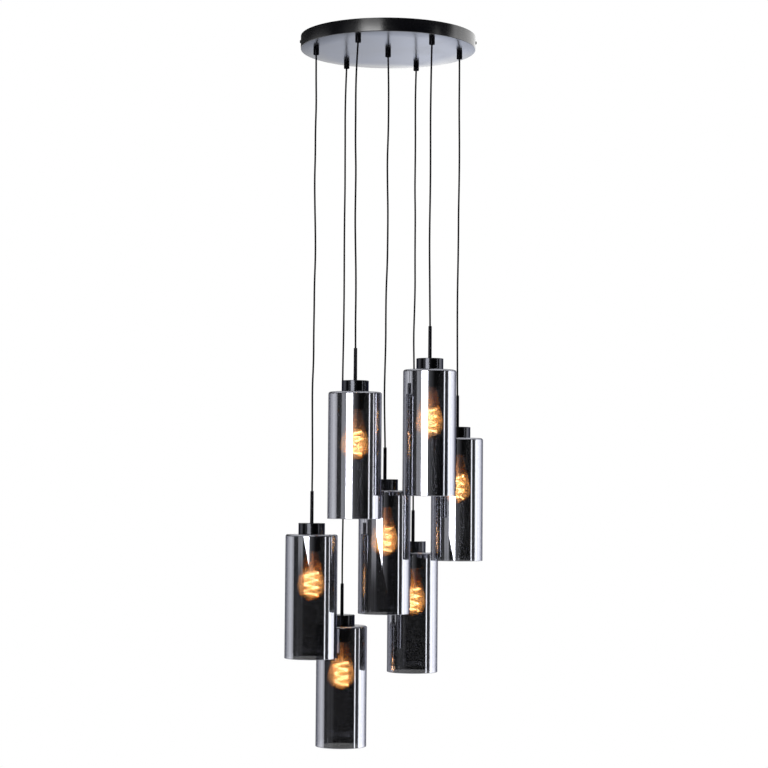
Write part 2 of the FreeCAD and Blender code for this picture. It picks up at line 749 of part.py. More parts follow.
def make_lampholder(number, base, x, y):
    """Heights are from the top of the glass: a threaded neck, a flange on the glass, and the socket below."""
    bore = "stem_spigot_radius + fit_clearance"
    body = turned(f"lampholder_{number}_body", [
        ("0", CONTACT),
        ("socket_radius", CONTACT),
        ("socket_radius", "-holder_drop"),
        ("holder_radius", "-holder_drop"),
        ("holder_radius", "0"),
        ("holder_flange_radius", "0"),
        ("holder_flange_radius", "holder_flange_height"),
        ("holder_radius", "holder_flange_height"),
        ("holder_radius", f"{HOLDER_TOP} - holder_slope"),
        ("holder_neck_radius", HOLDER_TOP),
        (bore, HOLDER_TOP),
        (bore, NECK_FLOOR),
        ("0", NECK_FLOOR),
    ])
    rounded(body, f"lampholder_round_{number}", "socket_mouth_round", [("holder_radius", "-holder_drop")])
    node(place(body, x, y, base), f"lampholder_{number}")


def make_shade_ring(number, base, x, y):
    """A threaded ring, with a flange that presses the glass up against the lampholder's flange."""
    bore = "holder_radius + fit_clearance"
    body = turned(f"shade_ring_{number}_body", [
        (bore, "0"),
        ("shade_ring_radius", "0"),
        ("shade_ring_radius", "-shade_ring_flange"),
        (f"{bore} + shade_ring_wall", "-shade_ring_flange"),
        (f"{bore} + shade_ring_wall", "-shade_ring_height"),
        (bore, "-shade_ring_height"),
    ])
    node(place(body, x, y, f"{base} - shade_wall"), f"shade_ring_{number}")


def make_shade(number, base, x, y):
    """The glass: a cylinder open below, its top closed but for the hole for the lampholder."""
    hole = "holder_radius + shade_hole_clearance"
    inside = "shade_radius - shade_wall"
    body = turned(f"shade_{number}_body", [
        (inside, "-shade_length"),
        ("shade_radius", "-shade_length"),
        ("shade_radius", "0"),
        (hole, "0"),
        (hole, "-shade_wall"),
        (inside, "-shade_wall"),
    ])
    rounded(body, f"shade_shoulder_{number}", "shade_shoulder", [("shade_radius", "0")])
    rounded(body, f"shade_inside_{number}", "shade_shoulder - shade_wall", [(inside, "-shade_wall")])
    rounded(body, f"shade_rim_{number}", "shade_rim_round",
            [("shade_radius", "-shade_length"), (inside, "-shade_length")])
    node(place(body, x, y, base), f"shade_{number}")


def draw_bulb(sketch):
    """Half of the bulb's wall: a cone from the neck that runs smoothly into a ball, outside and inside."""
    ball_radius, wall = size("bulb_radius"), size("bulb_wall")
    centre_height = size("bulb_radius - bulb_end")
    neck_radius, neck_height = size("bulb_neck_radius"), size(BULB_NECK)
    rise = neck_height - centre_height
    reach = math.hypot(neck_radius, rise)
    touch = math.atan2(neck_radius, rise) + math.acos(ball_radius / reach)  # from straight up
    centre = Vector(0, centre_height, 0)
    across = Vector(math.sin(touch), math.cos(touch), 0)
    lowest = -math.pi / 2
    edges = []
    for radius in (ball_radius, ball_radius - wall):
        neck = Vector(neck_radius, neck_height, 0) - across * (ball_radius - radius)
        circle = Part.Circle(centre, Vector(0, 0, 1), radius)
        arc = sketch.addGeometry(Part.ArcOfCircle(circle, lowest, math.pi / 2 - touch))
        line = sketch.addGeometry(Part.LineSegment(centre + across * radius, neck))
        sketch.addConstraint(Sketcher.Constraint("Tangent", arc, 2, line, 1))
        sketch.addConstraint(Sketcher.Constraint("PointOnObject", arc, 1, -2))
        edges.append((arc, line, neck))
    (outer_arc, outer_line, outer_neck), (inner_arc, inner_line, inner_neck) = edges
    top = sketch.addGeometry(Part.LineSegment(outer_neck, inner_neck))
    inner_low, outer_low = centre - Vector(0, ball_radius - wall, 0), centre - Vector(0, ball_radius, 0)
    low = sketch.addGeometry(Part.LineSegment(inner_low, outer_low))
    joins = [(outer_line, 2, top, 1), (top, 2, inner_line, 2), (low, 1, inner_arc, 1), (low, 2, outer_arc, 1)]
    for a, a_end, b, b_end in joins:
        sketch.addConstraint(Sketcher.Constraint("Coincident", a, a_end, b, b_end))
    sketch.addConstraint(Sketcher.Constraint("Coincident", outer_arc, 3, inner_arc, 3))
    sketch.addConstraint(Sketcher.Constraint("Perpendicular", top, inner_line))
    for arc, words in ((outer_arc, "bulb_radius"), (inner_arc, "bulb_radius - bulb_wall")):
        number = sketch.addConstraint(Sketcher.Constraint("Radius", arc, size(words)))
        sketch.setExpression(f"Constraints[{number}]", bound(words))
    pin_point(sketch, outer_arc, 3, "0", "bulb_radius - bulb_end")
    pin_point(sketch, outer_line, 2, "bulb_neck_radius", BULB_NECK)


def make_bulb(number, base, x, y, coil_shape):
    """A spiral filament bulb: glass, screw base, the mount inside it, and the filament."""
    glass = new_body(f"bulb_{number}_glass")
    outline = sketch_on(glass, "front", f"bulb_{number}_outline")
    draw_bulb(outline)
    turn_sketch(glass, outline, f"bulb_{number}_glass")
    screw = turned(f"bulb_{number}_base", [
        ("0", BULB_NECK),
        ("bulb_base_radius", BULB_NECK),
        ("bulb_base_radius", f"{CONTACT} - bulb_contact_height - bulb_base_taper"),
        ("bulb_contact_radius", f"{CONTACT} - bulb_contact_height"),
        ("bulb_contact_radius", CONTACT),
        ("0", CONTACT),
    ])
    mount = turned(f"bulb_{number}_mount", [
        ("0", BULB_NECK),
        ("bulb_flare_radius", BULB_NECK),
        ("bulb_mount_radius", f"{BULB_NECK} - bulb_flare_length"),
        ("bulb_mount_radius", "-bulb_mount_end"),
        ("bulb_rod_radius", "-bulb_mount_end - bulb_mount_tip"),
        ("bulb_rod_radius", f"{FILAMENT_END} - bulb_rod_radius"),
        ("0", f"{FILAMENT_END} - bulb_rod_radius"),
    ])
    held = [mount]
    for end, height in (("top", "-filament_top"), ("low", FILAMENT_END)):
        arm = add("Part::Cylinder", f"bulb_{number}_{end}_arm", Radius="bulb_arm_radius",
                  Height="filament_radius - filament_thickness - fit_clearance")
        held.append(place(arm, "0", "0", height, Rotation(Vector(0, 1, 0), 90)))
    support = add("Part::MultiFuse", f"bulb_{number}_support", Shapes=held)
    coil = place(feature(f"bulb_{number}_filament", coil_shape), "0", "0", "-filament_top")
    place(group([glass, screw, support, coil], f"bulb_{number}"), x, y, base)


def make_pendants():
    turns = size("filament_radius"), size("filament_pitch"), FILAMENT_QUARTERS
    coil = spiral(*turns, size("filament_thickness"))
    for number, ((drop, _, bends), (x, y)) in enumerate(zip(PENDANTS, SPOTS), start=1):
        base = f"-{drop}"
        make_cord(number, drop, size(x), size(y), bends)
        for make in (make_stem, make_cap, make_lampholder, make_shade_ring, make_shade):
            make(number, base, x, y)
        make_bulb(number, base, x, y, coil)


# ---------------------------------------------------------------- build, check, write

def check_and_write():
    doc.recompute()
    for made in doc.Objects:
        if {"Invalid", "Error"} & set(made.State):
            raise SystemExit(f"{made.Label} failed: {made.State}")
    os.makedirs("parts", exist_ok=True)
    for made in NODES:
        shape = made.Shape
        if shape.isNull() or not shape.isValid() or not shape.Solids:
            raise SystemExit(f"{made.Label} has no sound solid")
        shape.exportStep(f"parts/{made.Label}.step")
    print(f"{len(NODES)} nodes, {sum(len(made.Shape.Solids) for made in NODES)} solids")


make_canopy()
make_bracket()
make_screws()
make_grips()
make_wiring_box()
make_tails()
make_earth_lead()
make_pendants()
check_and_write()
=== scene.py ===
"""Cluster pendant: seven smoked glass cylinders with lit spiral bulbs, hung on cords from one round canopy.

Metres, +Z up, -Y towards the viewer. The origin is on the ceiling, in the middle of the canopy.
"""

import json
import math

import bmesh
import bpy
from mathutils import Matrix, Vector


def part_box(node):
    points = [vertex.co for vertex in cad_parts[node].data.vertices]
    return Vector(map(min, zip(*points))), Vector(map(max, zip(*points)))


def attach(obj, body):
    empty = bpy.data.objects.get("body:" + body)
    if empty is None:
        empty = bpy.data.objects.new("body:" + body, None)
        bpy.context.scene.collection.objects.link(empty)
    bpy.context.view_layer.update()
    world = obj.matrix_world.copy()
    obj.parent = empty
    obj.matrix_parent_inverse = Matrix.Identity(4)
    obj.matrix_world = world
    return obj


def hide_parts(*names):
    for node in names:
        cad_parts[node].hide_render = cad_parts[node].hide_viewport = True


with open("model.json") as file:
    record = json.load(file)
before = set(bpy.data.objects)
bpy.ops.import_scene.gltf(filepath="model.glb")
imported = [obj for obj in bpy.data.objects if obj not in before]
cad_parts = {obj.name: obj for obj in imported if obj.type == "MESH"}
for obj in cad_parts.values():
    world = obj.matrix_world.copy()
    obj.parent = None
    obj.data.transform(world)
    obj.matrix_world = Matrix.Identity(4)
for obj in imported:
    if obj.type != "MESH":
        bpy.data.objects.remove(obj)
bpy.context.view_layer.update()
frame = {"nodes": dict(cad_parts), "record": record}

scene = bpy.context.scene
MM = 0.001

# ---------------------------------------------------------------- sizes that the frame doesn't give

CANOPY_SHEET = 1.5 * MM
CANOPY_EDGE = 1.4 * MM
GRIP_RADIUS = 6.5 * MM
GRIP_NUT_SHARE = 0.62  # of the grip's height below the plate, up to its groove
GRIP_MOUTH = 3.7 * MM
GRIP_MOUTH_EDGE = 0.3 * MM
GRIP_EDGE = 0.8 * MM
GRIP_TOP_EDGE = 0.15 * MM
GRIP_GROOVE = 0.35 * MM
GRIP_GROOVE_EDGE = 0.2 * MM
PIVOT_ABOVE_MOUTH = 4.0 * MM
CORD_RADIUS = 2.0 * MM
CORD_CLEARANCE = 0.3 * MM
SPIGOT_RADIUS = 5.0 * MM
SPIGOT_EDGE = 0.4 * MM
SPIGOT_FIT = 0.05 * MM
TAIL_HEIGHT = 21.0 * MM  # over the wiring box's lowest height
TAIL_DESCENT = 24.0 * MM  # before the box's wall: from here the tail goes down to its entry
TAIL_STRAIGHT = 6.0 * MM
BOX_ENTRY_HEIGHT = 9.0 * MM
BRACKET_SHEET = 2.0 * MM
EARTH_WIRE = 1.1 * MM
LUG_SHEET = 0.8 * MM
EARTH_SCREW = Vector((-36.0 * MM, 0.0, -BRACKET_SHEET - LUG_SHEET))
EARTH_HEAD = 3.6 * MM
LUG_RADIUS = 4.8 * MM
LUG_HOLE = 2.1 * MM
CAP_SHEET = 1.5 * MM
CAP_EDGE = 0.9 * MM
CAP_RIM = 0.4 * MM
STEM_TIP = 3.8 * MM
STEM_TIP_EDGE = 0.8 * MM
STEM_RADIUS = 4.0 * MM
STEM_EDGE = 0.3 * MM
STEM_SPIGOT = 3.3 * MM
STEM_SPIGOT_LENGTH = 9.0 * MM
SHADE_WALL = 2.5 * MM
SHADE_SHOULDER = 5.0 * MM
SHADE_RIM = 1.0 * MM
SHADE_HOLE = 21.5 * MM
SHADE_HOLE_EDGE = 0.6 * MM
HOLDER_RADIUS = 20.5 * MM
HOLDER_RIM = 1.2 * MM
HOLDER_FLANGE = 3.0 * MM
HOLDER_FLANGE_EDGE = 0.3 * MM
HOLDER_NECK = 12.0 * MM
HOLDER_SLOPE = 8.0 * MM
HOLDER_SLOPE_EDGE = 0.5 * MM
SOCKET_RADIUS = 13.5 * MM
SOCKET_EDGE = 0.4 * MM
SOCKET_DEPTH = 28.0 * MM
CONTACT_PLAY = 0.05 * MM  # between the bulb's end contact and the lampholder's
RING_FLANGE = 2.0 * MM
RING_FLANGE_EDGE = 0.5 * MM
RING_WALL = 2.5 * MM
RING_TOP_EDGE = 0.2 * MM
RING_LOW_EDGE = 0.4 * MM
BULB_WALL = 1.0 * MM
BULB_NECK = 13.0 * MM
BULB_NECK_DEPTH = 37.0 * MM  # below the top of the glass, as are MOUNT_END and FILAMENT_TOP
MOUNT_END = 76.0 * MM
MOUNT_FLARE = 6.0 * MM
MOUNT_WAIST = 4.6 * MM
MOUNT_RADIUS = 4.0 * MM
MOUNT_FLARE_LENGTH = 12.0 * MM
MOUNT_TIP = [  # radius, and height over the mount's end
    (MOUNT_RADIUS, 2.0 * MM), (3.2 * MM, 0.0), (1.4 * MM, -2.2 * MM), (0.0, -3.0 * MM),
]
ROD_RADIUS = 0.6 * MM
ROD_PAST_COIL = 0.5 * MM
ARM_RADIUS = 0.35 * MM
ARM_KNEE = 7.0 * MM
ARM_RISE = 3.0 * MM
FILAMENT_TOP = 86.0 * MM
FILAMENT_RADIUS = 14.0 * MM
FILAMENT_PITCH = 17.0 * MM
FILAMENT_TURNS = 3
FILAMENT_WIRE_RADIUS = 1.2 * MM
SLEEVE_RADIUS = 3.2 * MM  # of the glow that follows the coil
GLOW_SHELLS = [  # half width and half height of each, nested round the filament
    (18.0 * MM, 27.0 * MM), (21.0 * MM, 29.5 * MM), (24.0 * MM, 32.0 * MM), (26.5 * MM, 33.5 * MM),
    (29.0 * MM, 34.5 * MM),
]
BASE_RADIUS = 13.2 * MM
BASE_THREAD = 3.6 * MM
BASE_THREAD_DEPTH = 0.9 * MM
BASE_THREAD_ENDS = (6.0, 8.0)  # the thread fades in over 1/6 of its height, and out over 1/8
CONTACT_RADIUS = 5.0 * MM
CONTACT_TIP = CONTACT_RADIUS * 0.9
CONTACT_HEIGHT = 2.0 * MM
BASE_TAPER = 3.0 * MM

# Length of each cord in metres, and the sideways bends on its way down: evenly spaced points, as (to the
# right, away) in mm
CORDS = {
    1: (0.981, [
        (1.7, 0.4), (2.1, -0.2), (1.9, -0.8), (0.0, -0.5), (0.9, 0.5), (2.4, 0.9), (2.3, 0.1),
        (2.0, -0.7), (-0.3, -0.9), (-0.6, 0.0), (-0.3, 0.7), (-1.6, 0.6), (-2.6, -0.2), (-1.5, -0.6),
    ]),
    2: (0.861, [
        (0.3, 0.6), (0.1, 0.9), (0.9, 0.2), (1.3, -0.6), (0.9, -0.8), (0.0, -0.1),
        (0.1, 0.7), (-0.4, 0.9), (-1.3, 0.2), (-1.4, -0.6), (-1.0, -0.7), (-0.5, -0.2),
    ]),
    3: (1.124, [
        (-1.4, -0.3), (-1.2, 0.4), (-0.6, 0.9), (-0.7, 0.5), (-1.1, -0.4), (0.3, -0.8),
        (0.2, -0.2), (0.4, 0.6), (1.1, 0.8), (-0.2, 0.1), (-1.7, -0.6), (-0.5, -0.5),
        (0.5, 0.3), (1.0, 0.8), (0.4, 0.5), (-0.4, -0.2), (-0.3, -0.5),
    ]),
    4: (1.295, [
        (-1.9, 0.3), (-2.5, -0.4), (-1.9, -0.8), (-1.7, 0.0), (-1.3, 0.8), (-1.8, 0.6), (-1.9, -0.3),
        (-1.6, -0.8), (-1.3, -0.2), (-1.4, 0.6), (-1.7, 0.8), (-2.5, 0.1), (-3.0, -0.6), (-2.4, -0.4),
        (-1.2, 0.5), (-0.4, 0.8), (0.3, 0.1), (0.7, -0.6), (0.3, -0.4), (-0.2, 0.2),
    ]),
    5: (1.081, [
        (0.2, 0.5), (1.4, 0.9), (-0.1, 0.2), (0.3, -0.6), (-0.9, -0.8), (0.3, 0.0),
        (2.0, 0.8), (2.7, 1.0), (0.9, 0.2), (1.0, -0.7), (0.4, -0.9), (0.8, -0.1),
        (-1.6, 0.7), (-1.0, 0.8), (-0.3, 0.0), (0.4, -0.4),
    ]),
    6: (0.766, [
        (-3.1, 0.4), (-4.3, 0.8), (-4.0, 0.0), (-4.1, -0.8), (-2.4, -0.7), (-2.8, 0.2),
        (-3.3, 0.9), (-2.1, 0.5), (-0.6, -0.4), (-0.1, -0.7), (-0.6, -0.1),
    ]),
    7: (0.715, [
        (-1.1, -0.4), (-1.7, 0.3), (-2.1, 0.9), (-1.6, 0.4), (-1.3, -0.5),
        (-1.6, -0.8), (-2.3, -0.1), (-2.4, 0.6), (-1.6, 0.5), (-0.9, -0.2),
    ]),
}

# Where each cord's tail enters the wiring box: the way into it, and how far along that wall from its middle,
# in mm
INTO_RIGHT_WALL, INTO_LEFT_WALL, INTO_FRONT_WALL = Vector((-1, 0, 0)), Vector((1, 0, 0)), Vector((0, 1, 0))
TAIL_ENTRIES = {
    1: (INTO_FRONT_WALL, 0.0),
    2: (INTO_RIGHT_WALL, -3.0),
    3: (INTO_RIGHT_WALL, 12.0),
    4: (INTO_LEFT_WALL, 12.0),
    5: (INTO_LEFT_WALL, -3.0),
    6: (INTO_LEFT_WALL, -15.0),
    7: (INTO_RIGHT_WALL, -15.0),
}
EARTH_ENTRY = (INTO_FRONT_WALL, -20.0)


class Box:
    """The box of a CAD node: its corners, its middle, its half width, and its highest and lowest height."""

    def __init__(self, node):
        self.low, self.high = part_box(node)
        self.middle = (self.low + self.high) / 2
        self.radius = (self.high.x - self.low.x) / 2
        self.top, self.bottom = self.high.z, self.low.z


# ---------------------------------------------------------------- shapes

SHARP = math.radians(38)
LONG_RUN = 4.0 * MM  # a longer straight in an outline is braced
BRACE = 0.4 * MM
ON_AXIS = 1e-7  # a ring smaller than this is one point
DOME = (0.35, 0.8)  # widths of the rings in a domed end, as shares of the tube's


def finish_mesh(name, maker):
    """An object from a bmesh, shaded smooth but for its sharp edges."""
    bmesh.ops.recalc_face_normals(maker, faces=maker.faces)
    for face in maker.faces:
        face.smooth = True
    for edge in maker.edges:
        edge.smooth = len(edge.link_faces) == 2 and edge.calc_face_angle(0.0) < SHARP
    mesh = bpy.data.meshes.new(name)
    maker.to_mesh(mesh)
    maker.free()
    made = bpy.data.objects.new(name, mesh)
    scene.collection.objects.link(made)
    return made


def softened(corners, steps=6):
    """A closed outline of (radius, height, rounding) corners, with an arc at each that has a rounding."""
    points = []
    for k, corner in enumerate(corners):
        here = Vector(corner[:2])
        rounding = corner[2] if len(corner) > 2 else 0.0
        if not rounding:
            points.append(here)
            continue
        back = (Vector(corners[k - 1][:2]) - here).normalized()
        ahead = (Vector(corners[(k + 1) % len(corners)][:2]) - here).normalized()
        half = back.angle(ahead) / 2
        centre = here + (back + ahead).normalized() * rounding / math.sin(half)
        first = here + back * rounding / math.tan(half) - centre
        last = here + ahead * rounding / math.tan(half) - centre
        turn = first.angle(last)
        for step in range(steps + 1):
            share = step / steps
            points.append(centre + (first * math.sin((1 - share) * turn) + last * math.sin(share * turn))
                          / math.sin(turn))
    return points


def braced(outline, closed):
    """The outline with a point close to each end of its long straights, which then shade as straight."""
    points = []
    for k, corner in enumerate(outline):
        here = Vector(corner)
        points.append(here)
        if k == len(outline) - 1 and not closed:
            break
        run = Vector(outline[(k + 1) % len(outline)]) - here
        if run.length > LONG_RUN:
            inset = run.normalized() * BRACE
            points += [here + inset, here + run - inset]
    return points


def ring(maker, middle, radius, height, segments):
    """A ring of points, or a single one on the axis."""
    if radius < ON_AXIS:
        return [maker.verts.new((middle.x, middle.y, height))]
    turns = [2 * math.pi * k / segments for k in range(segments)]
    places = [(middle.x + radius * math.cos(a), middle.y + radius * math.sin(a), height) for a in turns]
    return [maker.verts.new(place) for place in places]


def join_rings(maker, one, other):
    """Faces between two rings, either of which may be a single point."""
    count = max(len(one), len(other))
    for k in range(count):
        after = (k + 1) % count
        corners = [one[k % len(one)], one[after % len(one)], other[after % len(other)], other[k % len(other)]]
        kept = [v for i, v in enumerate(corners) if v not in corners[:i]]
        if len(kept) > 2:
            maker.faces.new(kept)


def lathe(name, outline, middle, segments):
    """A surface made by turning an outline of (radius, height) points about a vertical line.

    The outline is closed, unless it starts and ends on that line.
    """
    maker = bmesh.new()
    closed = outline[0][0] + outline[-1][0] > 0
    rings = [ring(maker, middle, radius, height, segments) for radius, height in braced(outline, closed)]
    pairs = list(zip(rings, rings[1:]))
    if closed:
        pairs.append((rings[-1], rings[0]))
    for one, other in pairs:
        join_rings(maker, one, other)
    return finish_mesh(name, maker)


def tube(name, points, radius, sides, round_ends=False):
    """A mesh tube along points, with flat or domed ends."""
    maker = bmesh.new()
    points = [Vector(p) for p in points]
    heading = (points[1] - points[0]).normalized()
    across = heading.orthogonal().normalized()
    rings = []
    for k, point in enumerate(points):
        ahead = (points[min(k + 1, len(points) - 1)] - points[max(k - 1, 0)]).normalized()
        across = (across - ahead * across.dot(ahead)).normalized()
        beside = ahead.cross(across)
        grown = []
        for share in (DOME if round_ends and k == 0 else ()):
            grown.append((point - ahead * radius * math.sqrt(1 - share ** 2), radius * share))
        grown.append((point, radius))
        for share in (DOME[::-1] if round_ends and k == len(points) - 1 else ()):
            grown.append((point + ahead * radius * math.sqrt(1 - share ** 2), radius * share))
        for centre, size in grown:
            turns = [2 * math.pi * s / sides for s in range(sides)]
            rings.append([maker.verts.new(centre + (across * math.cos(a) + beside * math.sin(a)) * size)
                          for a in turns])
    for one, other in zip(rings, rings[1:]):
        join_rings(maker, one, other)
    maker.faces.new(rings[0])
    maker.faces.new(rings[-1])
    return finish_mesh(name, maker)


def nurbs(name, points, radius):
    """A round cable along the smooth line that follows the points."""
    curve = bpy.data.curves.new(name, "CURVE")
    curve.dimensions = "3D"
    curve.bevel_depth = radius
    curve.bevel_resolution = 5
    curve.use_fill_caps = True
    spline = curve.splines.new("NURBS")
    spline.points.add(len(points) - 1)
    for held, point in zip(spline.points, points):
        held.co = (*point, 1.0)
    spline.order_u = 3
    spline.use_endpoint_u = True
    spline.resolution_u = 10
    made = bpy.data.objects.new(name, curve)
    scene.collection.objects.link(made)
    return made


def dress(piece, body, finish, stands_for):
    """Gives a piece its material and the body that it rides on, and hides the CAD nodes that it stands for.
    """
    piece.data.materials.clear()
    piece.data.materials.append(finish)
    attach(piece, body)
    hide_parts(*stands_for)


# ---------------------------------------------------------------- materials

def material(name, color, roughness, metallic=0.0, **sockets):
    """A Principled material; other sockets are given by name with underscores."""
    made = bpy.data.materials.new(name)
    made.use_nodes = True
    shader = made.node_tree.nodes["Principled BSDF"]
    shader.inputs["Base Color"].default_value = (*color, 1.0)
    shader.inputs["Roughness"].default_value = roughness
    shader.inputs["Metallic"].default_value = metallic
    for key, value in sockets.items():
        shader.inputs[key.replace("_", " ")].default_value = value
    return made


def noise(made, scale, detail=3.0, stretch=(1.0, 1.0, 1.0)):
    """A noise texture on the piece's own coordinates, in metres; scale is in waves per metre."""
    tree = made.node_tree
    where = tree.nodes.new("ShaderNodeTexCoord")
    mapping = tree.nodes.new("ShaderNodeMapping")
    mapping.inputs["Scale"].default_value = stretch
    texture = tree.nodes.new("ShaderNodeTexNoise")
    texture.inputs["Scale"].default_value = scale
    texture.inputs["Detail"].default_value = detail
    tree.links.new(where.outputs["Object"], mapping.inputs["Vector"])
    tree.links.new(mapping.outputs["Vector"], texture.inputs["Vector"])
    return texture


def bump(made, texture, strength, distance):
    tree = made.node_tree
    shader = tree.nodes["Principled BSDF"]
    node = tree.nodes.new("ShaderNodeBump")
    node.inputs["Strength"].default_value = strength
    node.inputs["Distance"].default_value = distance
    tree.links.new(texture.outputs["Fac"], node.inputs["Height"])
    tree.links.new(node.outputs["Normal"], shader.inputs["Normal"])


def vary(made, texture, socket, low, high, spread=(0.35, 0.65)):
    """Lets a texture move a socket between two values, numbers or colours."""
    tree = made.node_tree
    shader = tree.nodes["Principled BSDF"]
    if isinstance(low, tuple):
        tones = tree.nodes.new("ShaderNodeValToRGB")
        for element, position, tone in zip(tones.color_ramp.elements, spread, (low, high)):
            element.position = position
            element.color = (*tone, 1.0)
        tree.links.new(texture.outputs["Fac"], tones.inputs["Fac"])
        tree.links.new(tones.outputs["Color"], shader.inputs[socket])
        return
    scaled = tree.nodes.new("ShaderNodeMapRange")
    for key, value in zip(("From Min", "From Max", "To Min", "To Max"), (*spread, low, high)):
        scaled.inputs[key].default_value = value
    tree.links.new(texture.outputs["Fac"], scaled.inputs["Value"])
    tree.links.new(scaled.outputs["Result"], shader.inputs[socket])


def canopy_paint():
    """Black lacquer over brushed metal, whose fine lines run along the bracket."""
    made = material("canopy_paint", (0.002, 0.002, 0.003), 0.2)
    brushed = noise(made, 420.0, 2.0, (0.03, 1.0, 1.0))
    bump(made, brushed, 0.07, 0.0002)
    cloudy = noise(made, 14.0, 4.0)
    vary(made, cloudy, "Roughness", 0.17, 0.23)
    return made


def black_plate(name, color, low, high):
    """Black nickel: it mirrors little, and least of all along its edges."""
    made = material(name, color, low, 1.0)
    made.node_tree.nodes["Principled BSDF"].inputs["Specular Tint"].default_value = (0.3, 0.3, 0.32, 1.0)
    fine = noise(made, 1400.0)
    bump(made, fine, 0.02, 0.0001)
    cloudy = noise(made, 60.0, 3.0)
    vary(made, cloudy, "Roughness", low, high)
    return made


def cord_sheath():
    """Black textile braid, whose fine grain runs along the cord."""
    made = material("cord_sheath", (0.002, 0.002, 0.003), 0.8, Specular_IOR_Level=0.03)
    threads = noise(made, 700.0, 2.0, (2.2, 2.2, 1.0))
    bump(made, threads, 0.05, 0.0001)
    vary(made, threads, "Base Color", (0.001, 0.001, 0.002), (0.004, 0.004, 0.005))
    return made


def zinc_steel():
    made = material("zinc_steel", (0.62, 0.63, 0.66), 0.32, 1.0)
    brushed = noise(made, 220.0, 4.0, (0.15, 1.0, 1.0))
    bump(made, brushed, 0.1, 0.0002)
    vary(made, brushed, "Roughness", 0.26, 0.42)
    return made


def moulded(name, color, roughness):
    made = material(name, color, roughness)
    grain = noise(made, 1600.0)
    bump(made, grain, 0.15, 0.0001)
    mottle = noise(made, 40.0)
    vary(made, mottle, "Roughness", roughness - 0.05, roughness + 0.05)
    return made


def earth_sheath():
    """Green with yellow stripes along the wire."""
    made = material("earth_sheath", (0.1, 0.35, 0.05), 0.45)
    stripes = noise(made, 260.0, 0.0, (1.0, 0.06, 1.0))
    vary(made, stripes, "Base Color", (0.06, 0.3, 0.04), (0.8, 0.7, 0.05), (0.49, 0.51))
    return made


# Painted glow on the bulb's glass and its mount, in place of the filament's light on them, from their lowest
# point up
BULB_PAINTED_GLOW = [
    (0.0, (0.0, 0.0, 0.0)), (0.06, (0.03, 0.012, 0.003)), (0.17, (1.0, 0.52, 0.19)),
    (0.48, (1.0, 0.52, 0.19)), (0.60, (0.2, 0.08, 0.025)), (0.75, (0.06, 0.025, 0.01)),
    (1.0, (0.02, 0.012, 0.008)),
]
MOUNT_PAINTED_GLOW = [(0.0, (1.0, 0.42, 0.1)), (0.35, (0.4, 0.15, 0.04)), (1.0, (0.04, 0.02, 0.015))]


def smoke_glass():
    """Glass under a dark metallic coat, which mirrors the studio and lets part of the view through."""
    made = material("smoke_glass", (0.324, 0.330, 0.366), 0.012, 1.0, Alpha=0.72)
    made.node_tree.nodes["Principled BSDF"].inputs["Specular Tint"].default_value = (0.12, 0.12, 0.14, 1.0)
    drawn = noise(made, 5.0, 1.0, (1.0, 1.0, 0.12))
    bump(made, drawn, 0.12, 0.002)
    return made


def painted_glow_glass(name, color, alpha, light, strength):
    """Clear amber glass with painted glow in place of the filament's light from inside, more at some heights
    than others.
    """
    made = material(name, color, 0.08, Alpha=alpha, Emission_Strength=strength)
    uneven = noise(made, 30.0, 1.0)
    bump(made, uneven, 0.08, 0.001)
    tree = made.node_tree
    where = tree.nodes.new("ShaderNodeTexCoord")
    parts = tree.nodes.new("ShaderNodeSeparateXYZ")
    lit = tree.nodes.new("ShaderNodeValToRGB")
    for k, (position, tone) in enumerate(light):
        element = lit.color_ramp.elements[k] if k < 2 else lit.color_ramp.elements.new(position)
        element.position = position
        element.color = (*tone, 1.0)
    tree.links.new(where.outputs["Generated"], parts.inputs["Vector"])
    tree.links.new(parts.outputs["Z"], lit.inputs["Fac"])
    tree.links.new(lit.outputs["Color"], tree.nodes["Principled BSDF"].inputs["Emission Color"])
    return made


def nickel():
    made = material("nickel", (0.7, 0.68, 0.62), 0.25, 1.0)
    worn = noise(made, 150.0, 3.0)
    vary(made, worn, "Roughness", 0.2, 0.4)
    return made


def glowing(name, light, strength, alpha=1.0):
    made = material(name, (1.0, 0.72, 0.35), 0.5, Alpha=alpha, Emission_Strength=strength)
    made.node_tree.nodes["Principled BSDF"].inputs["Emission Color"].default_value = (*light, 1.0)
    return made


FINISH = {
    "canopy_paint": canopy_paint(),
    "black_metal": black_plate("black_metal", (0.010, 0.010, 0.012), 0.32, 0.38),
    "cap_paint": black_plate("cap_paint", (0.036, 0.037, 0.042), 0.15, 0.19),
    "zinc_steel": zinc_steel(),
    "white_plastic": moulded("white_plastic", (0.78, 0.78, 0.75), 0.45),
    "terminal_plastic": moulded("terminal_plastic", (0.6, 0.6, 0.57), 0.5),
    "cord_sheath": cord_sheath(),
    "earth_sheath": earth_sheath(),
    "holder_plastic": moulded("holder_plastic", (0.004, 0.004, 0.005), 0.4),
    "smoke_glass": smoke_glass(),
    # The bulb's glass carries painted glow, as emission in place of the filament's light on it.
    "bulb_glass": painted_glow_glass("bulb_glass", (0.9, 0.5, 0.16), 0.09, BULB_PAINTED_GLOW, 2.5),
    "nickel": nickel(),
}
# The mount's glass carries painted glow too, as emission in place of the filament's light on it.
MOUNT_GLASS = painted_glow_glass("mount_glass", (0.75, 0.55, 0.35), 0.4, MOUNT_PAINTED_GLOW, 6.0)
FILAMENT_CORE = glowing("filament_core", (1.0, 0.64, 0.48), 36.0)
# Painted glow: a see-through tube and shells glow round the filament as its halo, though they are no lamp.
FILAMENT_GLOW_SLEEVE = glowing("filament_glow_sleeve", (1.0, 0.56, 0.14), 20.0, 0.34)
FILAMENT_GLOW = glowing("filament_glow", (1.0, 0.50, 0.14), 13.0, 0.03)


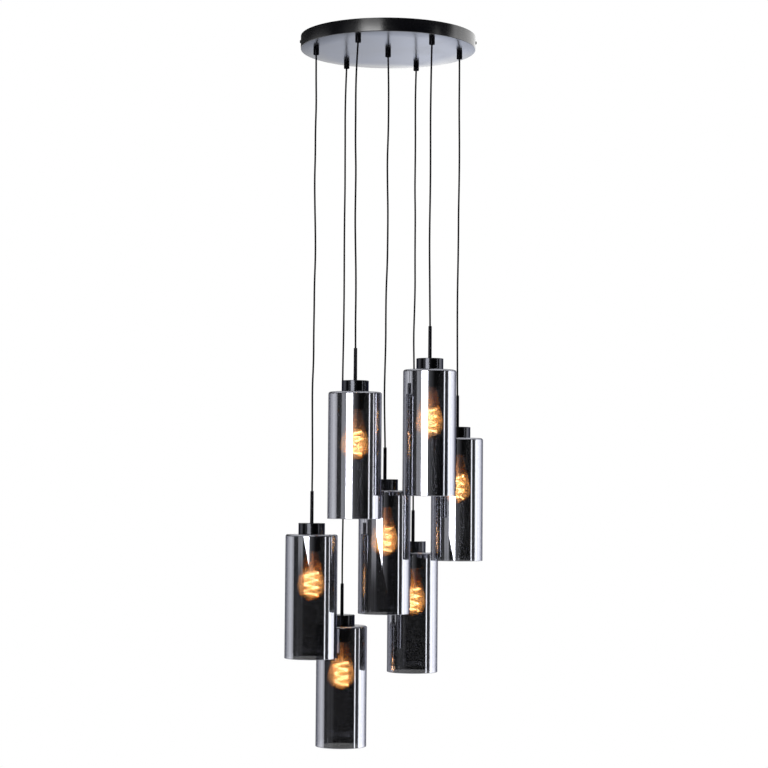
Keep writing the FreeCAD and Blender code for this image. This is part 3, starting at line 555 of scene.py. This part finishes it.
def dress_cad_nodes():
    """A finish for the CAD nodes. Small fasteners, the bracket and the wiring box stay as they are."""
    slots = {s["node"]: s["material_slot"] for s in frame["record"]["subparts"]}
    for name, node in frame["nodes"].items():
        node.data.materials.clear()
        node.data.materials.append(FINISH[slots[name]])


# ---------------------------------------------------------------- canopy

def plate_with_holes(maker, rim, holes):
    """A flat plate inside a ring of points, with rings of points as its holes."""
    edges = []
    for loop in [rim, *holes]:
        for a, b in zip(loop, loop[1:] + loop[:1]):
            edges.append(maker.edges.get((a, b)) or maker.edges.new((a, b)))
    bmesh.ops.triangle_fill(maker, use_beauty=True, use_dissolve=False, edges=edges)


def make_canopy(grips):
    """A shallow pan, open at the top, with a hole for each cord grip."""
    pan = Box("canopy")
    segments, hole_segments, steps = 256, 32, 5
    inside = pan.radius - CANOPY_SHEET
    floor = pan.bottom + CANOPY_SHEET
    outline = [(pan.radius - CANOPY_EDGE, pan.bottom)]
    for step in range(1, steps + 1):
        turn = math.pi / 2 * step / steps
        outline.append((pan.radius - CANOPY_EDGE + CANOPY_EDGE * math.sin(turn),
                        pan.bottom + CANOPY_EDGE - CANOPY_EDGE * math.cos(turn)))
    outline += [(pan.radius, pan.top), (inside, pan.top), (inside, floor)]
    maker = bmesh.new()
    rings = [ring(maker, pan.middle, radius, height, segments) for radius, height in outline]
    for one, other in zip(rings, rings[1:]):
        join_rings(maker, one, other)
    hole = SPIGOT_RADIUS + SPIGOT_FIT
    low = [ring(maker, spot, hole, pan.bottom, hole_segments) for spot in grips]
    high = [ring(maker, spot, hole, floor, hole_segments) for spot in grips]
    for one, other in zip(low, high):
        join_rings(maker, one, other)
    plate_with_holes(maker, rings[0], low)
    plate_with_holes(maker, rings[-1], high)
    piece = finish_mesh("canopy_pan", maker)
    dress(piece, "canopy", FINISH["canopy_paint"], ["canopy"])


def make_grips(spots):
    """A cord grip below the plate at each spot: a gland body, a groove, and its nut with a rounded mouth."""
    grips = Box("cord_grips")
    top, mouth = Box("canopy").bottom, grips.bottom
    groove = mouth + (top - mouth) * GRIP_NUT_SHARE
    waist = GRIP_RADIUS - GRIP_GROOVE
    bore = CORD_RADIUS + CORD_CLEARANCE
    for number, spot in spots.items():
        outline = softened([
            (GRIP_MOUTH, mouth, GRIP_MOUTH_EDGE), (GRIP_RADIUS, mouth, GRIP_EDGE),
            (GRIP_RADIUS, groove - GRIP_GROOVE, GRIP_GROOVE_EDGE), (waist, groove - GRIP_GROOVE),
            (waist, groove + GRIP_GROOVE), (GRIP_RADIUS, groove + GRIP_GROOVE, GRIP_GROOVE_EDGE),
            (GRIP_RADIUS, top, GRIP_TOP_EDGE), (SPIGOT_RADIUS, top),
            (SPIGOT_RADIUS, grips.top, SPIGOT_EDGE), (bore, grips.top), (bore, mouth + PIVOT_ABOVE_MOUTH),
        ], steps=4)
        piece = lathe(f"cord_grip_{number}", outline, spot, segments=48)
        dress(piece, "canopy", FINISH["black_metal"], ["cord_grips"])


def box_entry(into, along):
    """The middle of a cord entry, on the outside of the wiring box's wall."""
    case = Box("wiring_box")
    half = Vector(((case.high.x - case.low.x) / 2, (case.high.y - case.low.y) / 2, 0))
    place = Vector((case.middle.x, case.middle.y, case.bottom + BOX_ENTRY_HEIGHT))
    place += Vector((-into.x * half.x, -into.y * half.y, 0))
    return place + Vector((abs(into.y), abs(into.x), 0)) * along * MM


def make_tails(spots):
    """The cords' other ends, from the grips through the canopy into the wiring box."""
    floor = Box("wiring_box").bottom
    mouth = Box("cord_grips").bottom
    for number, (into, along) in TAIL_ENTRIES.items():
        entry = box_entry(into, along)
        ahead = entry - into * TAIL_DESCENT
        spot = spots[number]
        start = mouth + PIVOT_ABOVE_MOUTH + CORD_RADIUS + CORD_CLEARANCE
        points = [
            (spot.x, spot.y, start),
            (spot.x, spot.y, floor + TAIL_HEIGHT),
            (ahead.x, ahead.y, floor + TAIL_HEIGHT - CORD_RADIUS),
            entry - into * TAIL_STRAIGHT,
            entry + into * TAIL_STRAIGHT,
        ]
        piece = nurbs(f"cord_tail_{number}", points, CORD_RADIUS)
        dress(piece, "canopy", FINISH["cord_sheath"], ["cord_tails"])


def make_earth_lead():
    """A striped wire from a ring lug under the bracket's screw to the wiring box."""
    into, along = EARTH_ENTRY
    entry = box_entry(into, along)
    start = EARTH_SCREW + Vector((0, EARTH_HEAD + EARTH_WIRE / 2, LUG_SHEET - EARTH_WIRE - SPIGOT_FIT))
    before_box = entry - into * TAIL_STRAIGHT
    across = (before_box - start) / 3
    drop = Vector((0, 0, (start.z - entry.z) / 4))
    in_box = entry + into * TAIL_STRAIGHT
    points = [start, start + across + drop, before_box - across - drop, before_box, in_box]
    wire = nurbs("earth_wire", points, EARTH_WIRE)
    dress(wire, "canopy", FINISH["earth_sheath"], ["earth_lead"])
    low, high = EARTH_SCREW.z, EARTH_SCREW.z + LUG_SHEET
    outline = [(LUG_HOLE, low), (LUG_RADIUS, low), (LUG_RADIUS, high), (LUG_HOLE, high)]
    lug = lathe("earth_lug", outline, EARTH_SCREW, segments=48)
    dress(lug, "canopy", FINISH["zinc_steel"], ["earth_lead"])


# ---------------------------------------------------------------- pendants

def make_cord(number):
    """The cord, from its pivot in the grip to the lampholder."""
    length, bends = CORDS[number]
    stem = Box(f"stem_{number}")
    x, y = stem.middle.x, stem.middle.y
    mouth = Box("cord_grips").bottom
    top = mouth + PIVOT_ABOVE_MOUTH
    entry = stem.top + CORD_RADIUS
    bottom = Box(f"cord_{number}").bottom
    step = (top - entry) / (len(bends) + 1)
    points = [(x, y, top)]
    for k, (right, away) in enumerate(bends, start=1):
        points.append((x + right * MM, y + away * MM, top - step * k))
    points += [(x, y, entry), (x + CORD_CLEARANCE / 2, y, (entry + bottom) / 2), (x, y, bottom)]
    piece = nurbs(f"pendant_cord_{number}", points, CORD_RADIUS)
    dress(piece, f"pendant_{number}", FINISH["cord_sheath"], [f"cord_{number}"])


def make_stem(number, body):
    box = Box(f"stem_{number}")
    shoulder = box.bottom + STEM_SPIGOT_LENGTH
    bore = CORD_RADIUS + CORD_CLEARANCE
    outline = softened([
        (bore, box.bottom), (STEM_SPIGOT, box.bottom, STEM_EDGE), (STEM_SPIGOT, shoulder),
        (STEM_RADIUS, shoulder, STEM_EDGE), (STEM_TIP, box.top, STEM_TIP_EDGE), (bore, box.top),
    ])
    piece = lathe(f"stem_tube_{number}", outline, box.middle, segments=40)
    dress(piece, body, FINISH["black_metal"], [f"stem_{number}"])


def make_cap(number, body):
    box = Box(f"cap_{number}")
    hole = STEM_SPIGOT + SPIGOT_FIT
    inside = box.radius - CAP_SHEET
    outline = softened([
        (inside, box.bottom), (box.radius, box.bottom, CAP_RIM), (box.radius, box.top, CAP_EDGE),
        (hole, box.top), (hole, box.top - CAP_SHEET), (inside, box.top - CAP_SHEET),
    ])
    piece = lathe(f"cap_cover_{number}", outline, box.middle, segments=128)
    dress(piece, body, FINISH["cap_paint"], [f"cap_{number}"])


def make_lampholder(number, body, glass_top):
    """The holder's neck, its flange on the glass, and the skirt round the socket."""
    box = Box(f"lampholder_{number}")
    bore = STEM_SPIGOT + SPIGOT_FIT
    bore_floor = box.top - STEM_SPIGOT_LENGTH
    contact = box.bottom + SOCKET_DEPTH + CONTACT_PLAY
    flange_top = glass_top + HOLDER_FLANGE
    outline = softened([
        (0.0, contact), (SOCKET_RADIUS, contact), (SOCKET_RADIUS, box.bottom, SOCKET_EDGE),
        (HOLDER_RADIUS, box.bottom, HOLDER_RIM), (HOLDER_RADIUS, glass_top),
        (box.radius, glass_top, HOLDER_FLANGE_EDGE), (box.radius, flange_top, HOLDER_FLANGE_EDGE),
        (HOLDER_RADIUS, flange_top), (HOLDER_RADIUS, box.top - HOLDER_SLOPE, HOLDER_SLOPE_EDGE),
        (HOLDER_NECK, box.top, HOLDER_SLOPE_EDGE), (bore, box.top), (bore, bore_floor), (0.0, bore_floor),
    ])
    piece = lathe(f"holder_shell_{number}", outline, box.middle, segments=96)
    dress(piece, body, FINISH["holder_plastic"], [f"lampholder_{number}"])


def make_shade_ring(number, body):
    """The ring under the glass's top, which clamps the glass to the lampholder."""
    box = Box(f"shade_ring_{number}")
    bore = HOLDER_RADIUS + SPIGOT_FIT
    outer = bore + RING_WALL
    flange = box.top - RING_FLANGE
    outline = softened([
        (bore, box.top), (box.radius, box.top, RING_TOP_EDGE), (box.radius, flange, RING_FLANGE_EDGE),
        (outer, flange), (outer, box.bottom, RING_LOW_EDGE), (bore, box.bottom),
    ])
    piece = lathe(f"clamp_ring_{number}", outline, box.middle, segments=96)
    dress(piece, body, FINISH["holder_plastic"], [f"shade_ring_{number}"])


def make_shade(number, body):
    """The glass: a cylinder open below, its flat top holed for the lampholder."""
    box = Box(f"shade_{number}")
    inside = box.radius - SHADE_WALL
    outline = softened([
        (SHADE_HOLE, box.top, SHADE_HOLE_EDGE), (box.radius, box.top, SHADE_SHOULDER),
        (box.radius, box.bottom, SHADE_RIM), (inside, box.bottom, SHADE_RIM),
        (inside, box.top - SHADE_WALL, SHADE_SHOULDER - SHADE_WALL),
        (SHADE_HOLE, box.top - SHADE_WALL, SHADE_HOLE_EDGE),
    ], steps=10)
    piece = lathe(f"glass_{number}", outline, box.middle, segments=192)
    dress(piece, body, FINISH["smoke_glass"], [f"shade_{number}"])


# ---------------------------------------------------------------- bulbs

def bulb_outline(radius, centre, neck, steps=40):
    """The outline of the bulb's wall: a ball, and the cone that leaves it smoothly, up to the neck."""
    rise = neck - centre
    touch = math.atan2(BULB_NECK, rise) + math.acos(radius / math.hypot(BULB_NECK, rise))
    lines = []
    for size in (radius, radius - BULB_WALL):
        arc = [(size * math.sin(a), centre + size * math.cos(a))
               for a in (math.pi + (touch - math.pi) * s / steps for s in range(steps + 1))]
        back = radius - size
        top = (BULB_NECK - back * math.sin(touch), neck - back * math.cos(touch))
        lines.append(arc + [top])
    outer, inner = lines
    outer[0], inner[0] = (0.0, outer[0][1]), (0.0, inner[0][1])
    return outer + inner[::-1]


def threaded_base(name, middle, low, contact):
    """The screw base: a rolled thread that climbs round it, a taper and the end contact."""
    maker = bmesh.new()
    segments, steps = 72, 60
    fade_in, fade_out = BASE_THREAD_ENDS
    thread_top = contact - CONTACT_HEIGHT - BASE_TAPER
    rings = []
    for s in range(steps + 1):
        height = low + (thread_top - low) * s / steps
        fade = min(1.0, fade_in * s / steps, fade_out * (1 - s / steps))
        loop = []
        for k in range(segments):
            a = 2 * math.pi * k / segments
            groove = 0.5 - 0.5 * math.cos(2 * math.pi * (height - low) / BASE_THREAD + a)
            size = BASE_RADIUS - BASE_THREAD_DEPTH * groove * fade
            place = (middle.x + size * math.cos(a), middle.y + size * math.sin(a), height)
            loop.append(maker.verts.new(place))
        rings.append(loop)
    for radius, height in ((CONTACT_RADIUS, contact - CONTACT_HEIGHT), (CONTACT_TIP, contact)):
        rings.append(ring(maker, middle, radius, height, segments))
    rings.append(ring(maker, middle, 0.0, contact, segments))
    rings.insert(0, ring(maker, middle, 0.0, low, segments))
    for one, other in zip(rings, rings[1:]):
        join_rings(maker, one, other)
    return finish_mesh(name, maker)


def make_glow(name, middle, height):
    """The light round the filament: nested thin shells, which together fade towards the bulb's glass."""
    maker = bmesh.new()
    steps, segments = 20, 48
    for wide, tall in GLOW_SHELLS:
        turns = [math.pi * s / steps for s in range(steps + 1)]
        outline = [(wide * math.sin(a), height - tall * math.cos(a)) for a in turns]
        rings = [ring(maker, middle, radius, level, segments) for radius, level in outline]
        for one, other in zip(rings, rings[1:]):
            join_rings(maker, one, other)
    return finish_mesh(name, maker)


def make_bulb(number, glass_top):
    body = f"bulb_{number}"
    box = Box(body)
    middle = box.middle
    neck = glass_top - BULB_NECK_DEPTH
    node = [body]

    outline = bulb_outline(box.radius, box.bottom + box.radius, neck)
    wall = lathe(f"bulb_glass_{number}", outline, middle, segments=96)
    dress(wall, body, FINISH["bulb_glass"], node)
    base = threaded_base(f"bulb_base_{number}", middle, neck, box.top)
    dress(base, body, FINISH["nickel"], node)

    mount_end = glass_top - MOUNT_END
    tip = [(radius, mount_end + rise) for radius, rise in MOUNT_TIP]
    outline = [
        (0.0, neck), (MOUNT_FLARE, neck), (MOUNT_WAIST, neck - MOUNT_FLARE_LENGTH / 2),
        (MOUNT_RADIUS, neck - MOUNT_FLARE_LENGTH), *tip,
    ]
    mount = lathe(f"bulb_mount_{number}", outline, middle, segments=40)
    dress(mount, body, MOUNT_GLASS, node)

    top = glass_top - FILAMENT_TOP
    low = top - FILAMENT_PITCH * FILAMENT_TURNS
    x, y = middle.x, middle.y
    end, knee = x + FILAMENT_RADIUS, x + ARM_KNEE
    rod = [(x, y, mount_end), (x, y, (mount_end + low) / 2), (x, y, low - ROD_PAST_COIL)]
    arm_top = [(x, y, top + ARM_RISE), (knee, y, top + ARM_RISE * 2 / 3), (end, y, top)]
    arm_low = [(x, y, low), (knee, y, low), (end, y, low)]
    wires = [
        tube(f"bulb_rod_{number}", rod, ROD_RADIUS, sides=10),
        tube(f"bulb_arm_top_{number}", arm_top, ARM_RADIUS, sides=8),
        tube(f"bulb_arm_low_{number}", arm_low, ARM_RADIUS, sides=8),
    ]
    for wire in wires:
        dress(wire, body, FINISH["nickel"], node)

    per_turn = 48
    path = []
    for k in range(FILAMENT_TURNS * per_turn + 1):
        a = 2 * math.pi * k / per_turn
        height = top - FILAMENT_PITCH * k / per_turn
        path.append((x + FILAMENT_RADIUS * math.cos(a), y + FILAMENT_RADIUS * math.sin(a), height))
    coil = tube(f"bulb_filament_{number}", path, FILAMENT_WIRE_RADIUS, sides=12, round_ends=True)
    dress(coil, body, FILAMENT_CORE, node)
    # Painted glow round the filament: a see-through glowing tube along the coil, and glowing shells round it.
    halo_tube = tube(f"bulb_glow_sleeve_{number}", path, SLEEVE_RADIUS, sides=16, round_ends=True)
    dress(halo_tube, body, FILAMENT_GLOW_SLEEVE, node)
    glow = make_glow(f"bulb_glow_{number}", middle, (top + low) / 2)
    dress(glow, body, FILAMENT_GLOW, node)


def make_pendant(number):
    body = f"pendant_{number}"
    glass_top = Box(f"shade_{number}").top
    make_cord(number)
    make_stem(number, body)
    make_cap(number, body)
    make_lampholder(number, body, glass_top)
    make_shade_ring(number, body)
    make_shade(number, body)
    make_bulb(number, glass_top)


# ---------------------------------------------------------------- studio

CAMERA_PLACE = (-0.0036, -4.650, -1.037)
CAMERA_PITCH = math.radians(2.98)
CAMERA_ROLL = math.radians(0.44)
LENS = 96.1
SENSOR_WIDTH = 36.0
FLOOR_HEIGHT = -2.65
FLOOR_RADIUS = 6.0
BRIGHTEST = 16.0  # radiance that the ramps' 1 stands for

# The studio in reflections: what is round the object at its own height, above it and below it, as (degrees
# from the viewer, positive to the right; radiance). Then the softbox and a grey flat, which both end a little
# below that height. Heights are sines of the angle over the level.
AROUND = [
    (-180, 1.2), (-130, 1.4), (-105, 1.85), (-92, 1.6), (-84, 1.0), (-80, 0.04), (-60, 0.08), (-38, 0.08),
    (-30, 0.012), (63, 0.01), (63.8, 3.8), (68.2, 3.8), (69, 0.05), (85.5, 0.08), (87.5, 4.0), (122, 4.0),
    (136, 2.6), (180, 1.8),
]
ABOVE = [(-180, 0.04), (-60, 0.04), (-10, 0.01), (90, 0.01), (96, 2.6), (180, 1.6)]
BELOW = [
    (-180, 1.0), (-175, 0.5), (-90, 0.8), (-60, 0.3), (-30, 0.06), (50, 0.06), (80, 0.4), (100, 1.1),
    (175, 1.5), (180, 1.15),
]
BELOW_TINT = (0.93, 1.0, 1.22)
BELOW_UP_TO = (-0.20, -0.13)  # what is below gives way between these heights
SOFTBOX = (-36.0, -9.5)
SOFTBOX_RADIANCE = 13.0
SOFTBOX_UPPER = 2.3
SPILL = [(-10, 0.0), (-9, 0.4), (2, 0.15), (20, 0.0)]  # what the softbox lights beside it
SOFTBOX_EDGE = (-0.021, -0.036)  # height of its lower edge at each side
SOFTBOX_BLUR = 0.0008
SIDE_BLUR = 0.5  # degrees over which the softbox and the flat end at their sides
GREY_FLAT = (-57.5, -36.0)
GREY_RADIANCE = 0.85
GREY_EDGE = (-0.05, -0.025)  # it fades out between these heights
UPPER = (0.07, 0.15)  # what is above takes over between these heights
OVERHEAD = 1.3
OVERHEAD_FROM = (0.30, 0.55)  # and the plain light overhead between these
STREAKS = 90.0  # uneven stripes round the studio, so many to the turn
STREAK_NOISE = (0.3, 0.7)
STREAK_LIGHT = (0.7, 1.25)  # times the studio's light, at the two ends of that noise

COLOR_A, COLOR_B, COLOR_MIXED = 6, 7, 2  # the sockets of a mix node that take and give colours


def ramp(tree, factor, stops, scale, tint=(1.0, 1.0, 1.0)):
    """The colour at a turn of 0 to 1 between (degrees, value) stops; scale is the value that gives 1."""
    node = tree.nodes.new("ShaderNodeValToRGB")
    node.color_ramp.interpolation = "LINEAR"
    elements = node.color_ramp.elements
    while len(elements) > 1:
        elements.remove(elements[-1])
    for k, (degrees, value) in enumerate(stops):
        position = degrees / 360 + 0.5
        element = elements[0] if k == 0 else elements.new(position)
        element.position = position
        element.color = (*(value / scale * share for share in tint), 1.0)
    tree.links.new(factor, node.inputs["Fac"])
    return node.outputs["Color"]


def math_node(tree, operation, a, b):
    node = tree.nodes.new("ShaderNodeMath")
    node.operation = operation
    for held, value in zip(node.inputs, (a, b)):
        if isinstance(value, (int, float)):
            held.default_value = value
        else:
            tree.links.new(value, held)
    return node.outputs["Value"]


def span(tree, value, low, high):
    """0 below low, 1 above high, smooth between."""
    node = tree.nodes.new("ShaderNodeMapRange")
    node.interpolation_type = "SMOOTHSTEP"
    node.inputs["From Min"].default_value = low
    node.inputs["From Max"].default_value = high
    tree.links.new(value, node.inputs["Value"])
    return node.outputs["Result"]


def window(tree, turn, sides):
    """1 between two directions, 0 elsewhere."""
    left, right = sides
    stops = [(left - SIDE_BLUR, 0.0), (left, 1.0), (right, 1.0), (right + SIDE_BLUR, 0.0)]
    return ramp(tree, turn, stops, 1.0)


def grey(radiance):
    return (radiance / BRIGHTEST,) * 3 + (1.0,)


def mix(tree, share, a, b):
    node = tree.nodes.new("ShaderNodeMix")
    node.data_type = "RGBA"
    tree.links.new(share, node.inputs["Factor"])
    for key, value in ((COLOR_A, a), (COLOR_B, b)):
        if isinstance(value, tuple):
            node.inputs[key].default_value = value
        else:
            tree.links.new(value, node.inputs[key])
    return node.outputs[COLOR_MIXED]


def add(tree, a, b):
    node = tree.nodes.new("ShaderNodeVectorMath")
    tree.links.new(a, node.inputs[0])
    tree.links.new(b, node.inputs[1])
    return node.outputs["Vector"]


def make_world():
    """White to the eye; in reflections, a softbox, dark and grey flats and the white sweep of a studio."""
    world = bpy.data.worlds.new("studio")
    scene.world = world
    world.use_nodes = True
    tree = world.node_tree
    tree.nodes.clear()
    where = tree.nodes.new("ShaderNodeTexCoord")
    parts = tree.nodes.new("ShaderNodeSeparateXYZ")
    tree.links.new(where.outputs["Generated"], parts.inputs["Vector"])
    towards = math_node(tree, "MULTIPLY", parts.outputs["Y"], -1.0)
    around = math_node(tree, "ARCTAN2", parts.outputs["X"], towards)
    turn = math_node(tree, "ADD", math_node(tree, "DIVIDE", around, 2 * math.pi), 0.5)
    height = parts.outputs["Z"]

    upper = span(tree, height, *UPPER)
    level = ramp(tree, turn, AROUND, BRIGHTEST)
    in_flat = math_node(tree, "MULTIPLY", window(tree, turn, GREY_FLAT), span(tree, height, *GREY_EDGE))
    level = mix(tree, in_flat, level, grey(GREY_RADIANCE))
    level = mix(tree, upper, level, ramp(tree, turn, ABOVE, BRIGHTEST))

    left, right = SOFTBOX
    slope = (SOFTBOX_EDGE[1] - SOFTBOX_EDGE[0]) / ((right - left) / 360)
    start = SOFTBOX_EDGE[0] - slope * (left / 360 + 0.5)
    edge = math_node(tree, "ADD", math_node(tree, "MULTIPLY", turn, slope), start)
    above_edge = span(tree, math_node(tree, "SUBTRACT", height, edge), -SOFTBOX_BLUR, SOFTBOX_BLUR)
    lit = math_node(tree, "MULTIPLY", above_edge, math_node(tree, "SUBTRACT", 1.0, upper))
    level = mix(tree, lit, level, add(tree, level, ramp(tree, turn, SPILL, BRIGHTEST)))
    in_box = math_node(tree, "MULTIPLY", above_edge, window(tree, turn, SOFTBOX))
    level = mix(tree, in_box, level, mix(tree, upper, grey(SOFTBOX_RADIANCE), grey(SOFTBOX_UPPER)))

    below = ramp(tree, turn, BELOW, BRIGHTEST, BELOW_TINT)
    level = mix(tree, span(tree, height, *BELOW_UP_TO), below, level)
    level = mix(tree, span(tree, height, *OVERHEAD_FROM), level, grey(OVERHEAD))

    studio = tree.nodes.new("ShaderNodeBackground")
    streaks = tree.nodes.new("ShaderNodeTexNoise")
    streaks.noise_dimensions = "1D"
    streaks.inputs["Scale"].default_value = STREAKS
    tree.links.new(turn, streaks.inputs["W"])
    uneven = tree.nodes.new("ShaderNodeMapRange")
    for key, value in zip(("From Min", "From Max", "To Min", "To Max"), (*STREAK_NOISE, *STREAK_LIGHT)):
        uneven.inputs[key].default_value = value
    tree.links.new(streaks.outputs["Fac"], uneven.inputs["Value"])
    strength = math_node(tree, "MULTIPLY", uneven.outputs["Result"], BRIGHTEST)
    tree.links.new(strength, studio.inputs["Strength"])
    tree.links.new(level, studio.inputs["Color"])
    white = tree.nodes.new("ShaderNodeBackground")
    white.inputs["Color"].default_value = (1.0, 1.0, 1.0, 1.0)
    white.inputs["Strength"].default_value = 1.0
    path = tree.nodes.new("ShaderNodeLightPath")
    chosen = tree.nodes.new("ShaderNodeMixShader")
    tree.links.new(path.outputs["Is Camera Ray"], chosen.inputs["Fac"])
    tree.links.new(studio.outputs["Background"], chosen.inputs[1])
    tree.links.new(white.outputs["Background"], chosen.inputs[2])
    output = tree.nodes.new("ShaderNodeOutputWorld")
    tree.links.new(chosen.outputs["Shader"], output.inputs["Surface"])


def make_floor():
    maker = bmesh.new()
    bmesh.ops.create_circle(maker, cap_ends=True, segments=128, radius=FLOOR_RADIUS,
                            matrix=Matrix.Translation((0, 0, FLOOR_HEIGHT)))
    floor = finish_mesh("floor", maker)
    pale = material("floor", (0.86, 0.86, 0.86), 0.9)
    floor.data.materials.append(pale)


def make_camera():
    data = bpy.data.cameras.new("camera")
    data.lens = LENS
    data.sensor_width = SENSOR_WIDTH
    data.clip_end = 100.0
    made = bpy.data.objects.new("camera", data)
    scene.collection.objects.link(made)
    aim = Matrix.Rotation(math.pi / 2 + CAMERA_PITCH, 4, "X") @ Matrix.Rotation(CAMERA_ROLL, 4, "Z")
    made.matrix_world = Matrix.Translation(CAMERA_PLACE) @ aim
    scene.camera = made


def set_view():
    scene.view_settings.view_transform = "Standard"
    scene.view_settings.look = "None"
    scene.view_settings.exposure = 0.0
    scene.view_settings.gamma = 1.0
    scene.cycles.transparent_max_bounces = 96
    scene.cycles.max_bounces = 14
    scene.cycles.glossy_bounces = 8
    scene.cycles.sample_clamp_indirect = 6.0
    scene.cycles.use_denoising = True


# ---------------------------------------------------------------- the whole

spots = {}
for number in range(1, 8):
    middle = Box(f"stem_{number}").middle
    spots[number] = Vector((middle.x, middle.y, 0.0))
dress_cad_nodes()
make_canopy(list(spots.values()))
make_grips(spots)
make_tails(spots)
make_earth_lead()
for number in spots:
    make_pendant(number)
make_world()
make_floor()
make_camera()
set_view()
